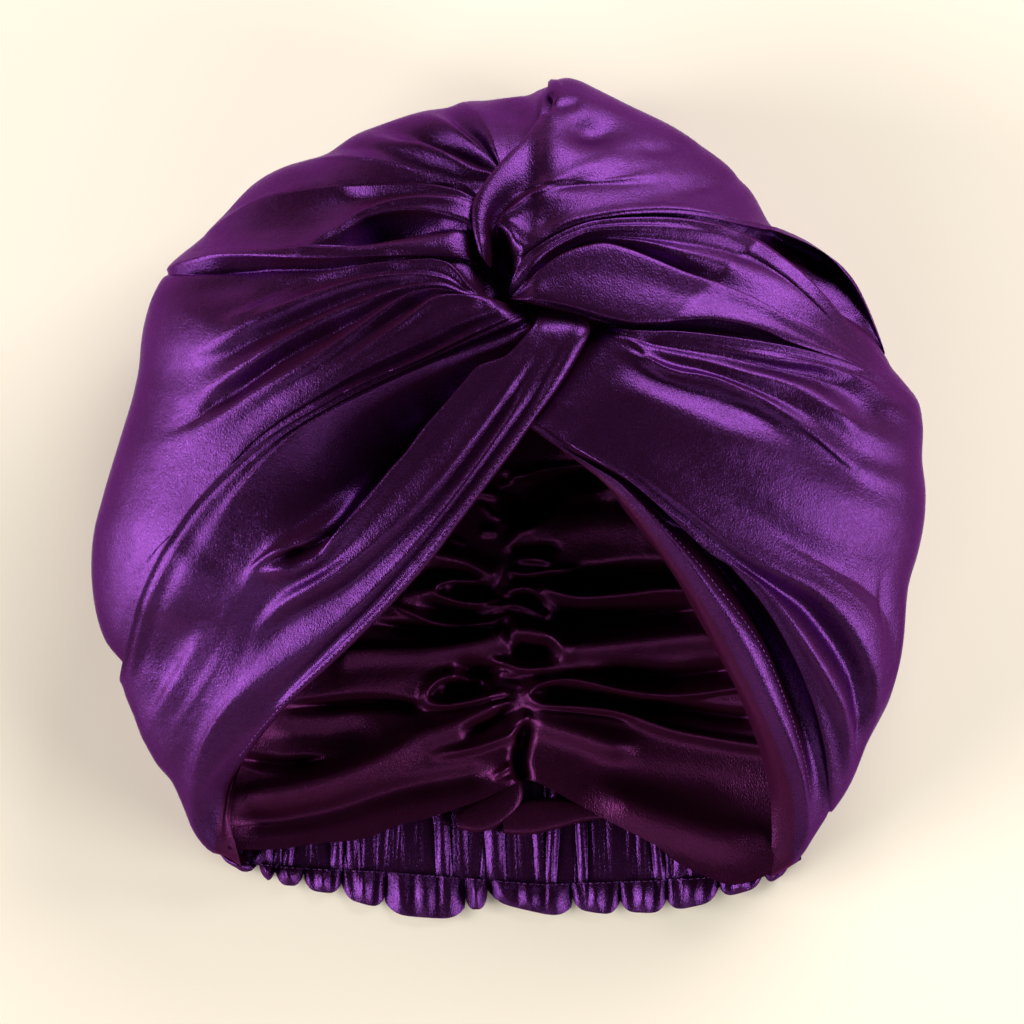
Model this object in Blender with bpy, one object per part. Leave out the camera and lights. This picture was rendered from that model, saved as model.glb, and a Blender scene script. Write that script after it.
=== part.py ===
"""A satin turban sleep bonnet with a twisted front, lying on its back with the face opening up.

Plan positions in the tables are in millimetres: x to the wearer's left side of the view, y towards
the crown, both from the middle of the bonnet. Heights come from one dome, and each fold adds its lift
along the dome's normal. Meshes are in metres, with +Z up off the surface that the bonnet lies on.
"""

import math
from collections import namedtuple

import bpy
import numpy as np

MM = 0.001

# Driving sizes, in millimetres
DOME_MIDDLE = (0.0, 10.0)  # plan point that the outline is measured from
DOME_POWER = 2.2  # how flat the dome is on top
DOME_ROUND = 1.7  # how full its shoulders are
WALL = 1.2  # two layers of satin
UNDER_WIDTH = 32.0  # plan width of the turn from the widest line down to the surface
SEAM_GAP = 0.3  # half the gap between the two sewn halves at the back
BACK_TOP = 118.0  # where the centre back seam starts, and where it ends at the nape
BACK_END = -101.0
SEAM_BEND = 15.0  # how far the top of that seam leans over to the crown's peak
EAR_START = -96.0  # outline height below which the halves end along the nape, not on the seam
WIDE_SPAN = 11.0  # folds further apart than this get one more column between them
PLEAT_PITCH = 7.0  # one gather of the elastic
CASING_WALL = 2.0
FRILL_WALL = 1.2
CORE_MIDDLE = (-4.0, 80.0)  # the crossed cloth at the bottom of the twist
CORE_RADII = (13.0, 17.0)
CORE_DEPTH = 14.0  # below the dome
CORE_WALL = 2.4
CORE_DOME = 2.5  # how far the core's rim curls down
CORE_FOLD = 1.2
TAB_HEIGHT = 6.2

# Hidden creases beside the edges of folds
CREASE_RUN = 14.0  # from the twist to where a crease has its full depth
CREASE_LEAST = 0.15  # share of its depth at the twist
CREASE_SHIFT = 0.8  # how far it lies under the edge, as a share of its drop

# How many points a piece has
FOLD_STATIONS = 13
LINING_STATIONS = 9
NAPE_STATIONS = 85
CORE_STATIONS = 9
TURN_STEPS = 4
FLAT_STEPS = 1
TWIST_SPREAD = 0.45  # 1 spreads the stations evenly, and less brings them closer near the outline

# The turn under, from the widest line to the surface
PEAK_Y = 148.0
EAR_REACH = 30.0  # from EAR_START to where the ends lie along the nape
EAR_DROP = 19.0
EAR_INNER = 10.0
LEAN_FROM = 30.0
TURN_ROUND = 0.9
TURN_BY_HEIGHT = 0.75
TURN_BY_WIDTH = 0.6

# The lining's trough
LINING_BASE = 4.0
LINING_SIDE = 34.0  # how high it climbs at the sides
LINING_HALF = 118.0
LINING_EDGE = 10.0
LINING_FROM = -130.0
LINING_RUN = 100.0

# The gathered nape
GATHER_DRIFT = 17.0  # how slowly the gathers' width changes
GATHER_UNEVEN = 0.9
CASING_BASE = 2.3
CASING_SWELL = 1.2
CASING_GATHER = 1.1
CASING_END = 101.0
CASING_FADE = 14.0
FRILL_BASE = 2.2
FRILL_LEAST = 0.6
FRILL_GATHER = 2.6
FRILL_RISE = 1.2
NAPE_GAP = 0.3  # between the casing, the stitches and the frill

# Outline seen from above, a row for each corner or swell
Outline = namedtuple("Outline", "x y")
OUTLINE = [
    Outline(21, 148.2),
    Outline(14, 144.5),
    Outline(4, 142.0),
    Outline(-17, 138.6),
    Outline(-45, 132.3),
    Outline(-66, 119.6),
    Outline(-83, 114.8),
    Outline(-97, 104.0),
    Outline(-106, 93.0),
    Outline(-119, 81.0),
    Outline(-126, 70.0),
    Outline(-130.6, 40.0),
    Outline(-138, 17.0),
    Outline(-145, -8.0),
    Outline(-146.2, -27.0),
    Outline(-142, -48.0),
    Outline(-135, -64.0),
    Outline(-130, -84.0),
    Outline(-118, -98.0),
    Outline(-112, -111.0),
    Outline(-107, -122.5),
    Outline(-98, -131.0),
    Outline(-60, -140.0),
    Outline(0, -144.0),
    Outline(60, -144.0),
    Outline(97, -135.0),
    Outline(111, -117.3),
    Outline(120, -103.0),
    Outline(127, -85.5),
    Outline(135, -70.0),
    Outline(139.5, -45.0),
    Outline(141.5, -30.0),
    Outline(146, -10.0),
    Outline(146.6, 5.0),
    Outline(145.5, 25.0),
    Outline(142, 37.0),
    Outline(131.5, 52.0),
    Outline(126.5, 67.5),
    Outline(119, 80.5),
    Outline(106, 90.0),
    Outline(93, 95.0),
    Outline(85, 109.0),
    Outline(73, 121.0),
    Outline(58, 132.0),
    Outline(38, 141.5),
]

# Heights down the length, a row for each section
Section = namedtuple("Section", "y crest rim")
SECTIONS = [
    Section(150, 112, 45),
    Section(72, 112, 46),
    Section(24, 107, 45),
    Section(-24, 98, 41),
    Section(-60, 84, 36),
    Section(-100, 60, 25),
    Section(-125, 40, 15),
    Section(-150, 24, 8),
]

# One row for each fold, from the twist out to the outline. Each point of a path is (x, y, lift).
# over says which neighbour the fold's edge lies on: the one before it, the one after it, or neither.
Fold = namedtuple("Fold", "name over drop path")

LEFT_FOLDS = [
    Fold("seam side", None, 0, [
        (-13, 103, -3), (-5.5, 116, 0), (2, 127, 0), (8, 134.5, 0), (13, 143, 0),
    ]),
    Fold("crown hollow", None, 0, [
        (-13.5, 104, -4), (-7, 118, -1), (-4, 127, -2), (-2, 134, -1), (2, 141, 0),
    ]),
    Fold("crown ridge", None, 0, [(-14, 104, -4), (-9, 119, 1), (-11, 128, 2), (-16, 138, 1)]),
    Fold("crown valley", None, 0, [(-14, 104, -5), (-12, 118, -2), (-22, 127, -3), (-38, 134, -1)]),
    Fold("crown shoulder", None, 0, [(-14, 103.5, -4), (-18, 114, 1), (-34, 122, 2), (-54, 127, 1)]),
    Fold("lobe top", "before", 4, [
        (-14.5, 103, -2), (-30, 113, 2), (-50, 117.5, 2.5), (-66, 119.5, 1.5),
    ]),
    Fold("lobe band", None, 0, [(-14.5, 102.5, -2), (-30, 109.5, 0), (-56, 112, 0), (-86, 113, 0)]),
    Fold("lobe rim", "before", 4, [
        (-14.5, 102, -2), (-34, 108.5, 2), (-72, 106.5, 2.5), (-105, 94, 1.5),
    ]),
    Fold("lobe ridge", None, 0, [(-14.5, 101, -2), (-30, 104, 3), (-58, 99, 2), (-111, 89, 0)]),
    Fold("lobe hollow", None, 0, [
        (-14.5, 97, -5), (-30, 96, -10), (-54, 89, -7), (-80, 90, -1), (-114, 86.5, 0),
    ]),
    Fold("hollow rim", None, 0, [(-14.5, 94, -3), (-32, 90.5, 1), (-62, 86.5, 2), (-117, 84, 1)]),
    Fold("lobe edge", "after", 6, [(-14.5, 85, -3), (-38, 84.5, 2), (-75, 84, 3.5), (-119.5, 81, 2)]),
    Fold("panel rim", None, 0, [
        (-12, 73, -5), (-18, 78, 0), (-28, 82.5, 1), (-62, 78.5, 0), (-122, 77, 0),
    ]),
    Fold("panel ridge 1", None, 0, [
        (-10, 72.5, -5), (-24, 78.5, 0), (-52, 75, 1.5), (-88, 61.5, 2), (-128, 56, 0),
    ]),
    Fold("panel valley 1", None, 0, [
        (-9.5, 72, -5), (-25, 76.5, -1), (-52, 71, -2.5), (-86, 56, -3), (-130, 45, 0),
    ]),
    Fold("panel ridge 2", None, 0, [
        (-9, 71.5, -5), (-26, 75, 0), (-52, 68, 1), (-84, 53, 1.5), (-131, 36, 0),
    ]),
    Fold("panel valley 2", None, 0, [
        (-8.5, 71.2, -5), (-26, 73.8, -1), (-52, 62.5, -3.5), (-84, 45, -5), (-134, 26, 0),
    ]),
    Fold("panel ridge 3", None, 0, [
        (-8, 70.8, -5), (-28, 72.5, 2), (-46, 64, 2), (-72, 47, 2), (-137, 17, 0),
    ]),
    Fold("pocket", None, 0, [
        (-7, 70.2, -5), (-26, 69.5, -2), (-46, 58, -1), (-76, 40, 0), (-142, 2, 0),
    ]),
    Fold("band body", None, 0, [
        (-5.5, 68.5, -5), (-22, 64, 1), (-50, 51, 0), (-84, 31, 0), (-146, -20, 0),
    ]),
    Fold("band dip", None, 0, [
        (-3, 66, -5), (-20, 56.5, -2.5), (-52, 42.5, -3), (-88, 21.5, 0), (-142.5, -46, 0),
    ]),
    Fold("band edge", "before", 5, [
        (0, 63, -4), (-25, 50.5, 2.5), (-65, 33, 3), (-108, -1, 3), (-128, -34, 3), (-135, -63, 2),
    ]),
    Fold("band crease", "before", 3, [
        (2, 60.5, -4), (-25, 48, 2), (-60, 31, 2.5), (-83, 14, 2), (-103, -14, 1), (-134.5, -71, 0),
    ]),
    Fold("hollow slope", None, 0, [
        (2.5, 57.5, -5), (-14, 49, -1), (-44, 32, -3), (-74, 6, -2), (-98, -30, 0), (-131, -84, 0),
    ]),
    Fold("strap hollow", None, 0, [
        (3.5, 55.5, -7), (-13, 45, -11), (-43, 17.5, -17), (-66, -8, -9), (-92, -40, -1),
        (-125, -91, 0),
    ]),
    Fold("strap edge", "before", 7, [
        (11, 66, -8), (-1, 49.5, 1), (-30, 23.5, 2), (-58, -12.5, 2), (-86, -44, 1),
        (-119.5, -97, 0),
    ]),
    Fold("strap ridge", None, 0, [
        (16, 67.5, -8), (7, 49, 2), (-18, 14, 2.5), (-48, -22, 2), (-82, -56, 3), (-115, -105, 1),
    ]),
    Fold("strap valley", None, 0, [
        (21, 67, -8), (13.5, 44, -0.5), (-10, 9.5, -0.5), (-45, -34, -0.5), (-86, -74, 0),
        (-111.5, -113, 0),
    ]),
    Fold("hem ridge", None, 0, [
        (26, 65.5, -8), (17, 43, 1), (-7, 8.5, 1), (-44, -38, 1), (-88, -79, 1), (-109, -112, 1),
        (-109.5, -118.5, 0),
    ]),
    Fold("hem edge", None, 0, [
        (28.5, 64, -9), (18.5, 42, -1.5), (-5, 8.5, -1.5), (-43, -39.5, -1.5), (-85, -80, -1.5),
        (-103, -108, -2), (-106.5, -122.5, 0),
    ]),
    Fold("hem turned in", None, 0, [
        (26, 65, -12), (15.5, 44, -4), (-9, 11, -4), (-47, -37, -4), (-89, -78, -4),
        (-102, -108, -5), (-104, -124, -1),
    ]),
]

RIGHT_FOLDS = [
    Fold("seam roll", None, 0, [
        (-12, 92, -9), (-12.3, 99, 1), (-6, 111.5, 2), (5, 128, 2), (16, 147, 1),
    ]),
    Fold("roll face", None, 0, [
        (-8.5, 84, -9), (-9.5, 93, 1), (-3.5, 106, 1), (9, 127, 1), (22, 148, 1),
    ]),
    Fold("roll valley", None, 0, [
        (-6.3, 86, -10), (-7, 94, -3), (0, 104, -1), (15, 124, 0), (31, 144.5, 0),
    ]),
    Fold("roll ridge", None, 0, [
        (-5.3, 92, -10), (-3.5, 96, 1), (7, 104, 2), (25, 121, 0), (46, 138.5, 0),
    ]),
    Fold("crown face", None, 0, [(-1, 91, -10), (4, 92, 0), (17, 99, 0), (44, 115, 0), (68, 125, 0)]),
    Fold("crown swell", None, 0, [
        (0.5, 86, -10), (5.5, 88, 0), (26, 98, 0.5), (60, 104, 1.5), (86, 107.5, 0),
    ]),
    Fold("outer fold", None, 0, [
        (1, 83.5, -10), (8, 87.3, 0), (30, 98.8, 1.5), (68, 100, 3), (98, 93.5, 3), (119, 80.5, 3),
    ]),
    Fold("outer hollow", None, 0, [
        (1, 81, -10), (9, 86, -2), (40, 98, -3), (78, 94, -5), (106, 82, -8), (129, 60, -4),
    ]),
    Fold("lobe 1 rim", "before", 4, [
        (0.5, 76, -8), (10, 85, 2), (28, 94.5, 2.5), (55, 97, 2.5), (88, 88.5, 2.5), (112, 69, 2),
        (134, 48, 1),
    ]),
    Fold("lobe 1 hollow", None, 0, [
        (1.5, 75.5, -8), (12, 83.5, -2), (32, 91, -6), (58, 85.5, -5), (84, 76, -2), (135.5, 46, 0),
    ]),
    Fold("lobe 2 ridge", None, 0, [
        (2, 75, -7), (14, 81.5, 1), (34, 86.5, 2), (62, 78.5, 2), (90, 66, 2), (137, 44, 0),
    ]),
    Fold("lobe 2 body", None, 0, [
        (2.5, 73.5, -6), (18, 76, 1), (48, 73, 1), (88, 61, 1), (139, 41.5, 0),
    ]),
    Fold("lobe 2 edge", "after", 5, [
        (2, 71.5, -5), (16, 68, 1), (38, 62.2, 1.5), (66, 61.5, 1.5), (94, 56, 1), (141.5, 38, 0.5),
    ]),
    Fold("flap rim", None, 0, [
        (38, 59.5, -5), (48, 58.8, 0), (72, 57, 1), (108, 51.3, 1.5), (144, 34.5, 1),
    ]),
    Fold("flap valley 1", None, 0, [
        (38.5, 58.5, -5), (50, 55.5, -2), (80, 50.5, -2), (108, 43, -2.5), (145.5, 28, 0),
    ]),
    Fold("flap ridge 1", None, 0, [
        (39, 58, -5), (50, 53, 0), (76, 46, 1), (105, 35.5, 1.5), (146, 20, 0),
    ]),
    Fold("flap ridge 2", None, 0, [
        (38.5, 57.5, -5), (50, 49, 1), (64, 42, 1.5), (84, 35.5, 2), (146.5, 10, 0),
    ]),
    Fold("flap valley 2", None, 0, [
        (38, 56.5, -5), (50, 44, -1), (68, 37.5, -2), (98, 25, -2), (146.5, 2, 0),
    ]),
    Fold("flap body", None, 0, [(35, 54, -5), (44, 36, 1), (74, 21, 1), (110, 2, 1), (146, -10, 0)]),
    Fold("flap fall", None, 0, [(31, 49, -5), (42, 26, 1), (70, 7, 0), (106, -14, 0), (142, -29, 0)]),
    Fold("side ridge 1", None, 0, [
        (26, 43, -5), (40, 18, 0), (72, -9, 1), (108, -33, 2.5), (127, -58, 3), (133, -75, 1),
    ]),
    Fold("side valley 1", None, 0, [
        (23, 39, -5), (37, 16, 0), (70, -13, 0), (103, -38, -2.5), (121, -62, -3), (126.5, -86, 0),
    ]),
    Fold("side ridge 2", None, 0, [
        (20, 35, -5), (35, 14.5, 0), (70, -17, 0), (99, -44, 2.5), (117, -72, 3), (120.5, -101, 1),
    ]),
    Fold("side valley 2", None, 0, [
        (18, 32, -5), (34, 13, 0), (70, -20, 0), (96, -50, -1.5), (112, -80, -2), (115, -110, 0),
    ]),
    Fold("flap edge", None, 0, [
        (16, 29, -5), (33, 12.5, 1), (62, -12.5, 1), (88, -47, 1), (106, -80, 1), (111, -117, 0),
    ]),
    Fold("hem groove", None, 0, [
        (15, 28, -7), (31, 12, -4), (60, -13, -8), (84, -46, -9), (101, -80, -7),
        (108.5, -120.5, -1),
    ]),
    Fold("hem ridge", None, 0, [
        (14.5, 27, -7), (30, 10.5, -3), (56, -13.5, 0), (80, -50, 0), (99, -88, 0),
        (104.5, -125.5, 0),
    ]),
    Fold("hem edge", None, 0, [
        (14.5, 26, -8), (29, 9.5, -4.5), (52, -13.5, -2.5), (76, -52, -2.5), (94, -92, -2.5),
        (98.5, -132.5, 0),
    ]),
    Fold("hem turned in", None, 0, [
        (16, 27.5, -11), (31.5, 11, -8), (55.5, -11.5, -5.5), (80, -49, -5.5), (97, -89, -5.5),
        (100, -131, -2),
    ]),
]

# Lining folds from the gathered centre seam out to the side, from the crown down to the nape
LEFT_LINING = [
    Fold("deep end", None, 0, [(-0.2, 62, 0), (-40, 64, 0), (-84, 60, 0)]),
    Fold("deep swell", None, 0, [(-0.2, 32, 3), (-40, 36, 3), (-100, 30, 0)]),
    Fold("upper hollow", None, 0, [(-0.2, 8, -1), (-30, 8, -1), (-112, 2, 0)]),
    Fold("upper swag", None, 0, [(-0.2, -14, 2), (-30, -16, 4), (-115, -24, 0)]),
    Fold("slit 1", None, 0, [(-0.2, -22, -2), (-24, -25, -1), (-114, -36, 0)]),
    Fold("swag 1", None, 0, [(-0.2, -29, 3), (-30, -33, 4), (-112, -46, 0)]),
    Fold("slit 2", None, 0, [(-0.2, -41, -2), (-38, -46, -1.5), (-108, -56, 0)]),
    Fold("swag 2", None, 0, [(-0.2, -47, 4), (-36, -53, 6), (-105, -64, 1)]),
    Fold("slit 3", None, 0, [(-0.2, -60, -2), (-48, -71.5, -1), (-101, -77, 0)]),
    Fold("swag 3", None, 0, [(-0.2, -70, 4), (-44, -83, 5), (-100, -95, 1)]),
    Fold("swag 4", None, 0, [(-0.2, -84, 4), (-50, -97, 6), (-99, -104, 2)]),
    Fold("last dip", None, 0, [(-0.2, -93, 5), (-14, -100, 5), (-46, -109, 5), (-98, -114, 4)]),
    Fold("lower edge", None, 0, [(-0.2, -100, 7), (-16, -108.5, 7), (-46, -118.5, 7), (-99, -122, 5)]),
]

RIGHT_LINING = [
    Fold("deep end", None, 0, [(0.2, 62, 0), (40, 64, 0), (84, 60, 0)]),
    Fold("deep swell", None, 0, [(0.2, 32, 3), (40, 36, 3), (100, 28, 0)]),
    Fold("upper hollow", None, 0, [(0.2, 14, -1), (30, 14, -1), (112, 6, 0)]),
    Fold("upper swag", None, 0, [(0.2, -8, 3), (30, -4, 5), (116, -10, 0)]),
    Fold("slit 1", None, 0, [(0.2, -26, -2), (36, -26, -1.5), (113, -28, 0)]),
    Fold("swag 1", None, 0, [(0.2, -31, 3), (36, -33.5, 5), (111, -38, 1)]),
    Fold("slit 2", None, 0, [(0.2, -40, -2), (40, -41, -1.5), (108, -48, 0)]),
    Fold("swag 2", None, 0, [(0.2, -45, 4), (40, -50, 6), (106, -56, 1)]),
    Fold("slit 3", None, 0, [(0.2, -60, -2), (46, -61, -1.5), (103, -66, 0)]),
    Fold("loop upper", None, 0, [(0.2, -66, 4), (40, -66.5, 5), (101, -74, 1)]),
    Fold("loop slit", None, 0, [(0.2, -69, -1), (50, -72, -1), (99, -82, 0)]),
    Fold("loop lower", None, 0, [(0.2, -72, 4), (50, -77.5, 5), (97, -90, 1)]),
    Fold("broad dip", None, 0, [(0.2, -86, 3), (50, -93, 2), (95, -101, 1)]),
    Fold("broad swag", None, 0, [(0.2, -96, 5), (50, -108, 8), (94, -116, 5)]),
    Fold("lower edge", None, 0, [
        (0.2, -99, 7), (18, -102.5, 7), (46, -118.5, 7), (76, -132, 8), (93, -129, 5),
    ]),
]

# Nape elastic seen from above, a row for each station across
Nape = namedtuple("Nape", "x top stitch edge")
NAPE = [
    Nape(-101, -124.5, -127.5, -129.0),
    Nape(-86, -121.0, -131.0, -135.0),
    Nape(-66, -116.0, -133.0, -140.0),
    Nape(-50, -112.5, -132.5, -144.5),
    Nape(-30, -107.5, -134.0, -148.4),
    Nape(-10, -104.0, -135.0, -145.0),
    Nape(12, -104.0, -137.0, -147.0),
    Nape(34, -108.0, -136.0, -147.0),
    Nape(54, -113.0, -135.5, -146.0),
    Nape(72, -118.0, -134.5, -142.5),
    Nape(86, -123.5, -134.5, -139.0),
    Nape(94.5, -128.5, -133.5, -135.4),
]

# Facing of the centre seam seen from above, a row for each station across
Tab = namedtuple("Tab", "x top bottom")
TAB = [
    Tab(-16, -108.0, -115.5),
    Tab(-5, -105.0, -117.0),
    Tab(6, -104.5, -118.5),
    Tab(20, -107.5, -115.8),
    Tab(34, -110.5, -112.5),
]


def steps(first, last, count):
    return np.linspace(first, last, count)


def curve_at(knots, values, at):
    """A smooth curve through the values, read at the given parameters."""
    knots = np.asarray(knots, float)
    values = np.asarray(values, float)
    slopes = np.diff(values, axis=0) / np.diff(knots)[:, None]
    tangents = np.empty_like(values)
    tangents[0] = slopes[0]
    tangents[-1] = slopes[-1]
    before = np.diff(knots)[:-1, None]
    after = np.diff(knots)[1:, None]
    tangents[1:-1] = (slopes[:-1] * after + slopes[1:] * before) / (before + after)
    span = np.clip(np.searchsorted(knots, at, side="right") - 1, 0, len(knots) - 2)
    width = (knots[span + 1] - knots[span])[:, None]
    s = ((at - knots[span])[:, None]) / width
    return (
        (2 * s**3 - 3 * s**2 + 1) * values[span]
        + (s**3 - 2 * s**2 + s) * width * tangents[span]
        + (3 * s**2 - 2 * s**3) * values[span + 1]
        + (s**3 - s**2) * width * tangents[span + 1]
    )


def outline_table():
    angles = []
    radii = []
    for row in OUTLINE:
        dx = row.x - DOME_MIDDLE[0]
        dy = row.y - DOME_MIDDLE[1]
        angles.append(math.atan2(dy, dx))
        radii.append(math.hypot(dx, dy))
    order = np.argsort(angles)
    angles = np.array(angles)[order]
    radii = np.array(radii)[order]
    turn = 2 * math.pi
    knots = np.concatenate([angles - turn, angles, angles + turn])
    return knots, np.tile(radii, 3)[:, None]


OUTLINE_KNOTS, OUTLINE_RADII = outline_table()


def outline_radius(x, y):
    angle = np.arctan2(y - DOME_MIDDLE[1], x - DOME_MIDDLE[0])
    return curve_at(OUTLINE_KNOTS, OUTLINE_RADII, angle.reshape(-1)).reshape(angle.shape)


def share_out(x, y):
    """How far out a plan point is: 0 in the middle and 1 on the outline."""
    reach = np.hypot(x - DOME_MIDDLE[0], y - DOME_MIDDLE[1])
    return reach / outline_radius(x, y)


def section_value(y, column):
    rows = SECTIONS[::-1]
    knots = [row.y for row in rows]
    values = [[getattr(row, column)] for row in rows]
    flat = np.clip(np.asarray(y, float), knots[0], knots[-1])
    return curve_at(knots, values, flat.reshape(-1)).reshape(flat.shape)


def dome_height(x, y):
    share = np.clip(share_out(x, y), 0, 1)
    rim = section_value(y, "rim")
    crest = section_value(y, "crest")
    return rim + (crest - rim) * (1 - share**DOME_POWER) ** (1 / DOME_ROUND)


def dome_normal(x, y):
    """Unit normals of the dome, which turn level at the outline."""
    reach = 1.5
    share = np.clip(share_out(x, y), 0, 1)
    inner = np.clip(share, 0, 0.985)
    scale = np.where(share > 1e-6, inner / np.maximum(share, 1e-6), 1)
    ix = DOME_MIDDLE[0] + (x - DOME_MIDDLE[0]) * scale
    iy = DOME_MIDDLE[1] + (y - DOME_MIDDLE[1]) * scale
    slope_x = (dome_height(ix + reach, iy) - dome_height(ix - reach, iy)) / (2 * reach)
    slope_y = (dome_height(ix, iy + reach) - dome_height(ix, iy - reach)) / (2 * reach)
    normal = np.stack([-slope_x, -slope_y, np.ones_like(slope_x)], axis=-1)
    level = np.clip((share - 0.9) / 0.1, 0, 1)[..., None]
    normal[..., 2:] *= 1 - level
    return normal / np.linalg.norm(normal, axis=-1, keepdims=True)


def fold_path(path, stations, out_to_rim):
    """(x, y, lift) at each station of a fold's smooth path."""
    points = np.array(path, float)
    if out_to_rim:
        x, y = points[-1, :2]
        scale = 1 / float(share_out(np.array(x), np.array(y)))
        points[-1, 0] = DOME_MIDDLE[0] + (x - DOME_MIDDLE[0]) * scale
        points[-1, 1] = DOME_MIDDLE[1] + (y - DOME_MIDDLE[1]) * scale
    lengths = np.linalg.norm(np.diff(points[:, :2], axis=0), axis=1)
    knots = np.concatenate([[0], np.cumsum(lengths)])
    return curve_at(knots, points, stations * knots[-1])


def tucked(path, side, drop):
    """The hidden crease beside an edge: shifted sideways under it, and lower."""
    along = np.gradient(path[:, :2], axis=0)
    along /= np.linalg.norm(along, axis=1, keepdims=True) + 1e-9
    across = np.stack([-along[:, 1], along[:, 0]], axis=1) * side
    run = np.concatenate([[0], np.cumsum(np.linalg.norm(np.diff(path[:, :2], axis=0), axis=1))])
    grow = np.clip(run / CREASE_RUN, CREASE_LEAST, 1)[:, None]
    under = path.copy()
    under[:, :2] += across * drop * CREASE_SHIFT * grow
    under[:, 2] -= drop * grow[:, 0]
    return under


def ribs_of(folds, stations, side, out_to_rim=True):
    """Every fold as sampled points, with a hidden crease beside each edge."""
    ribs = []
    for fold in folds:
        path = fold_path(fold.path, stations, out_to_rim)
        if fold.over == "before":
            ribs.append(tucked(path, side, fold.drop))
        ribs.append(path)
        if fold.over == "after":
            ribs.append(tucked(path, -side, fold.drop))
    return np.array(ribs)


def across_ribs(ribs):
    """Columns of points across the ribs, with one more between two ribs that are far apart."""
    spread = np.linalg.norm(np.diff(ribs[:, :, :2], axis=0), axis=2).max(axis=1)
    between = np.where(spread > WIDE_SPAN, 2, 1)
    columns = np.empty((between.sum() + 1, ribs.shape[1], ribs.shape[2]))
    for station in range(ribs.shape[1]):
        points = ribs[:, station]
        spacing = np.maximum(np.linalg.norm(np.diff(points, axis=0), axis=1), 0.3) ** 0.5
        knots = np.concatenate([[0], np.cumsum(spacing)])
        places = [knots[i] + spacing[i] * part / n for i, n in enumerate(between) for part in range(n)]
        columns[:, station] = curve_at(knots, points, np.array(places + [knots[-1]]))
    return columns


def raised(columns):
    """Dome points lifted along the dome's normal."""
    x = columns[..., 0]
    y = columns[..., 1]
    base = np.stack([x, y, dome_height(x, y)], axis=-1)
    return base + dome_normal(x, y) * columns[..., 2:3]


def underside(rim, side):
    """From each rim point down to the surface, and flat along it to the centre back seam or the nape."""
    down = np.clip((rim[:, 1] - EAR_START) / (PEAK_Y - EAR_START), 0, 1)
    outward = np.clip((EAR_START - rim[:, 1]) / EAR_REACH, 0, 1)
    end_y = BACK_END + (BACK_TOP - BACK_END) * down - EAR_DROP * outward**1.5
    lean = SEAM_BEND * np.clip((end_y - LEAN_FROM) / (BACK_TOP - LEAN_FROM), 0, 1) ** 2
    end_x = lean + side * (SEAM_GAP + outward * np.maximum(np.abs(rim[:, 0]) - EAR_INNER, 0))
    inward = np.stack([end_x - rim[:, 0], end_y - rim[:, 1]], axis=1)
    distance = np.linalg.norm(inward, axis=1, keepdims=True)
    inward = inward / distance
    least = np.minimum(rim[:, 2] * TURN_BY_HEIGHT, distance[:, 0] * TURN_BY_WIDTH)
    width = np.minimum(UNDER_WIDTH, least)[:, None]
    rows = []
    for turn in steps(0, math.pi / 2, TURN_STEPS + 1)[1:]:
        bend = 1 - math.cos(turn) ** TURN_ROUND
        rise = 1 - math.sin(turn) ** TURN_ROUND
        plan = rim[:, :2] + inward * width * bend
        rows.append(np.concatenate([plan, rim[:, 2:] * rise], axis=1))
    contact = rim[:, :2] + inward * width
    for share in steps(0, 1, FLAT_STEPS + 1)[1:]:
        plan = contact + (np.stack([end_x, end_y], axis=1) - contact) * share
        rows.append(np.concatenate([plan, np.zeros((len(rim), 1))], axis=1))
    return np.stack(rows, axis=1)


def grid_normals(grid):
    along = np.gradient(grid, axis=1)
    across = np.gradient(grid, axis=0)
    normal = np.cross(across, along)
    length = np.linalg.norm(normal, axis=-1, keepdims=True)
    return normal / np.maximum(length, 1e-9)


def wall_mesh(name, outer, inner):
    """One closed body between two grids of points."""
    rows, columns = outer.shape[:2]
    points = np.concatenate([outer.reshape(-1, 3), inner.reshape(-1, 3)]) * MM
    half = rows * columns

    def place(i, j, layer):
        return layer * half + i * columns + j

    faces = []
    for i in range(rows - 1):
        for j in range(columns - 1):
            ring = [(i, j), (i + 1, j), (i + 1, j + 1), (i, j + 1)]
            faces.append([place(a, b, 0) for a, b in ring])
            faces.append([place(a, b, 1) for a, b in reversed(ring)])
    border = [(i, 0) for i in range(rows)]
    border += [(rows - 1, j) for j in range(1, columns)]
    border += [(i, columns - 1) for i in range(rows - 2, -1, -1)]
    border += [(0, j) for j in range(columns - 2, 0, -1)]
    for (a, b), (c, d) in zip(border, border[1:] + border[:1]):
        faces.append([place(c, d, 0), place(a, b, 0), place(a, b, 1), place(c, d, 1)])
    mesh = bpy.data.meshes.new(name)
    mesh.from_pydata(points.tolist(), [], faces)
    mesh.update()
    return mesh


def faces_out(mesh):
    """Turns the faces round if the body is inside out."""
    volume = 0.0
    mesh.calc_loop_triangles()
    for triangle in mesh.loop_triangles:
        a, b, c = (mesh.vertices[i].co for i in triangle.vertices)
        volume += a.dot(b.cross(c))
    if volume < 0:
        mesh.flip_normals()


def satin(name, colour, roughness):
    material = bpy.data.materials.new(name)
    material.use_nodes = True
    shader = material.node_tree.nodes["Principled BSDF"]
    shader.inputs["Base Color"].default_value = (*colour, 1)
    shader.inputs["Roughness"].default_value = roughness
    return material


def add_piece(mesh, material):
    faces_out(mesh)
    mesh.materials.append(material)
    mesh.shade_smooth()
    mesh.set_sharp_from_angle(angle=math.radians(50))
    piece = bpy.data.objects.new(mesh.name, mesh)
    bpy.context.scene.collection.objects.link(piece)
    return piece


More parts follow.
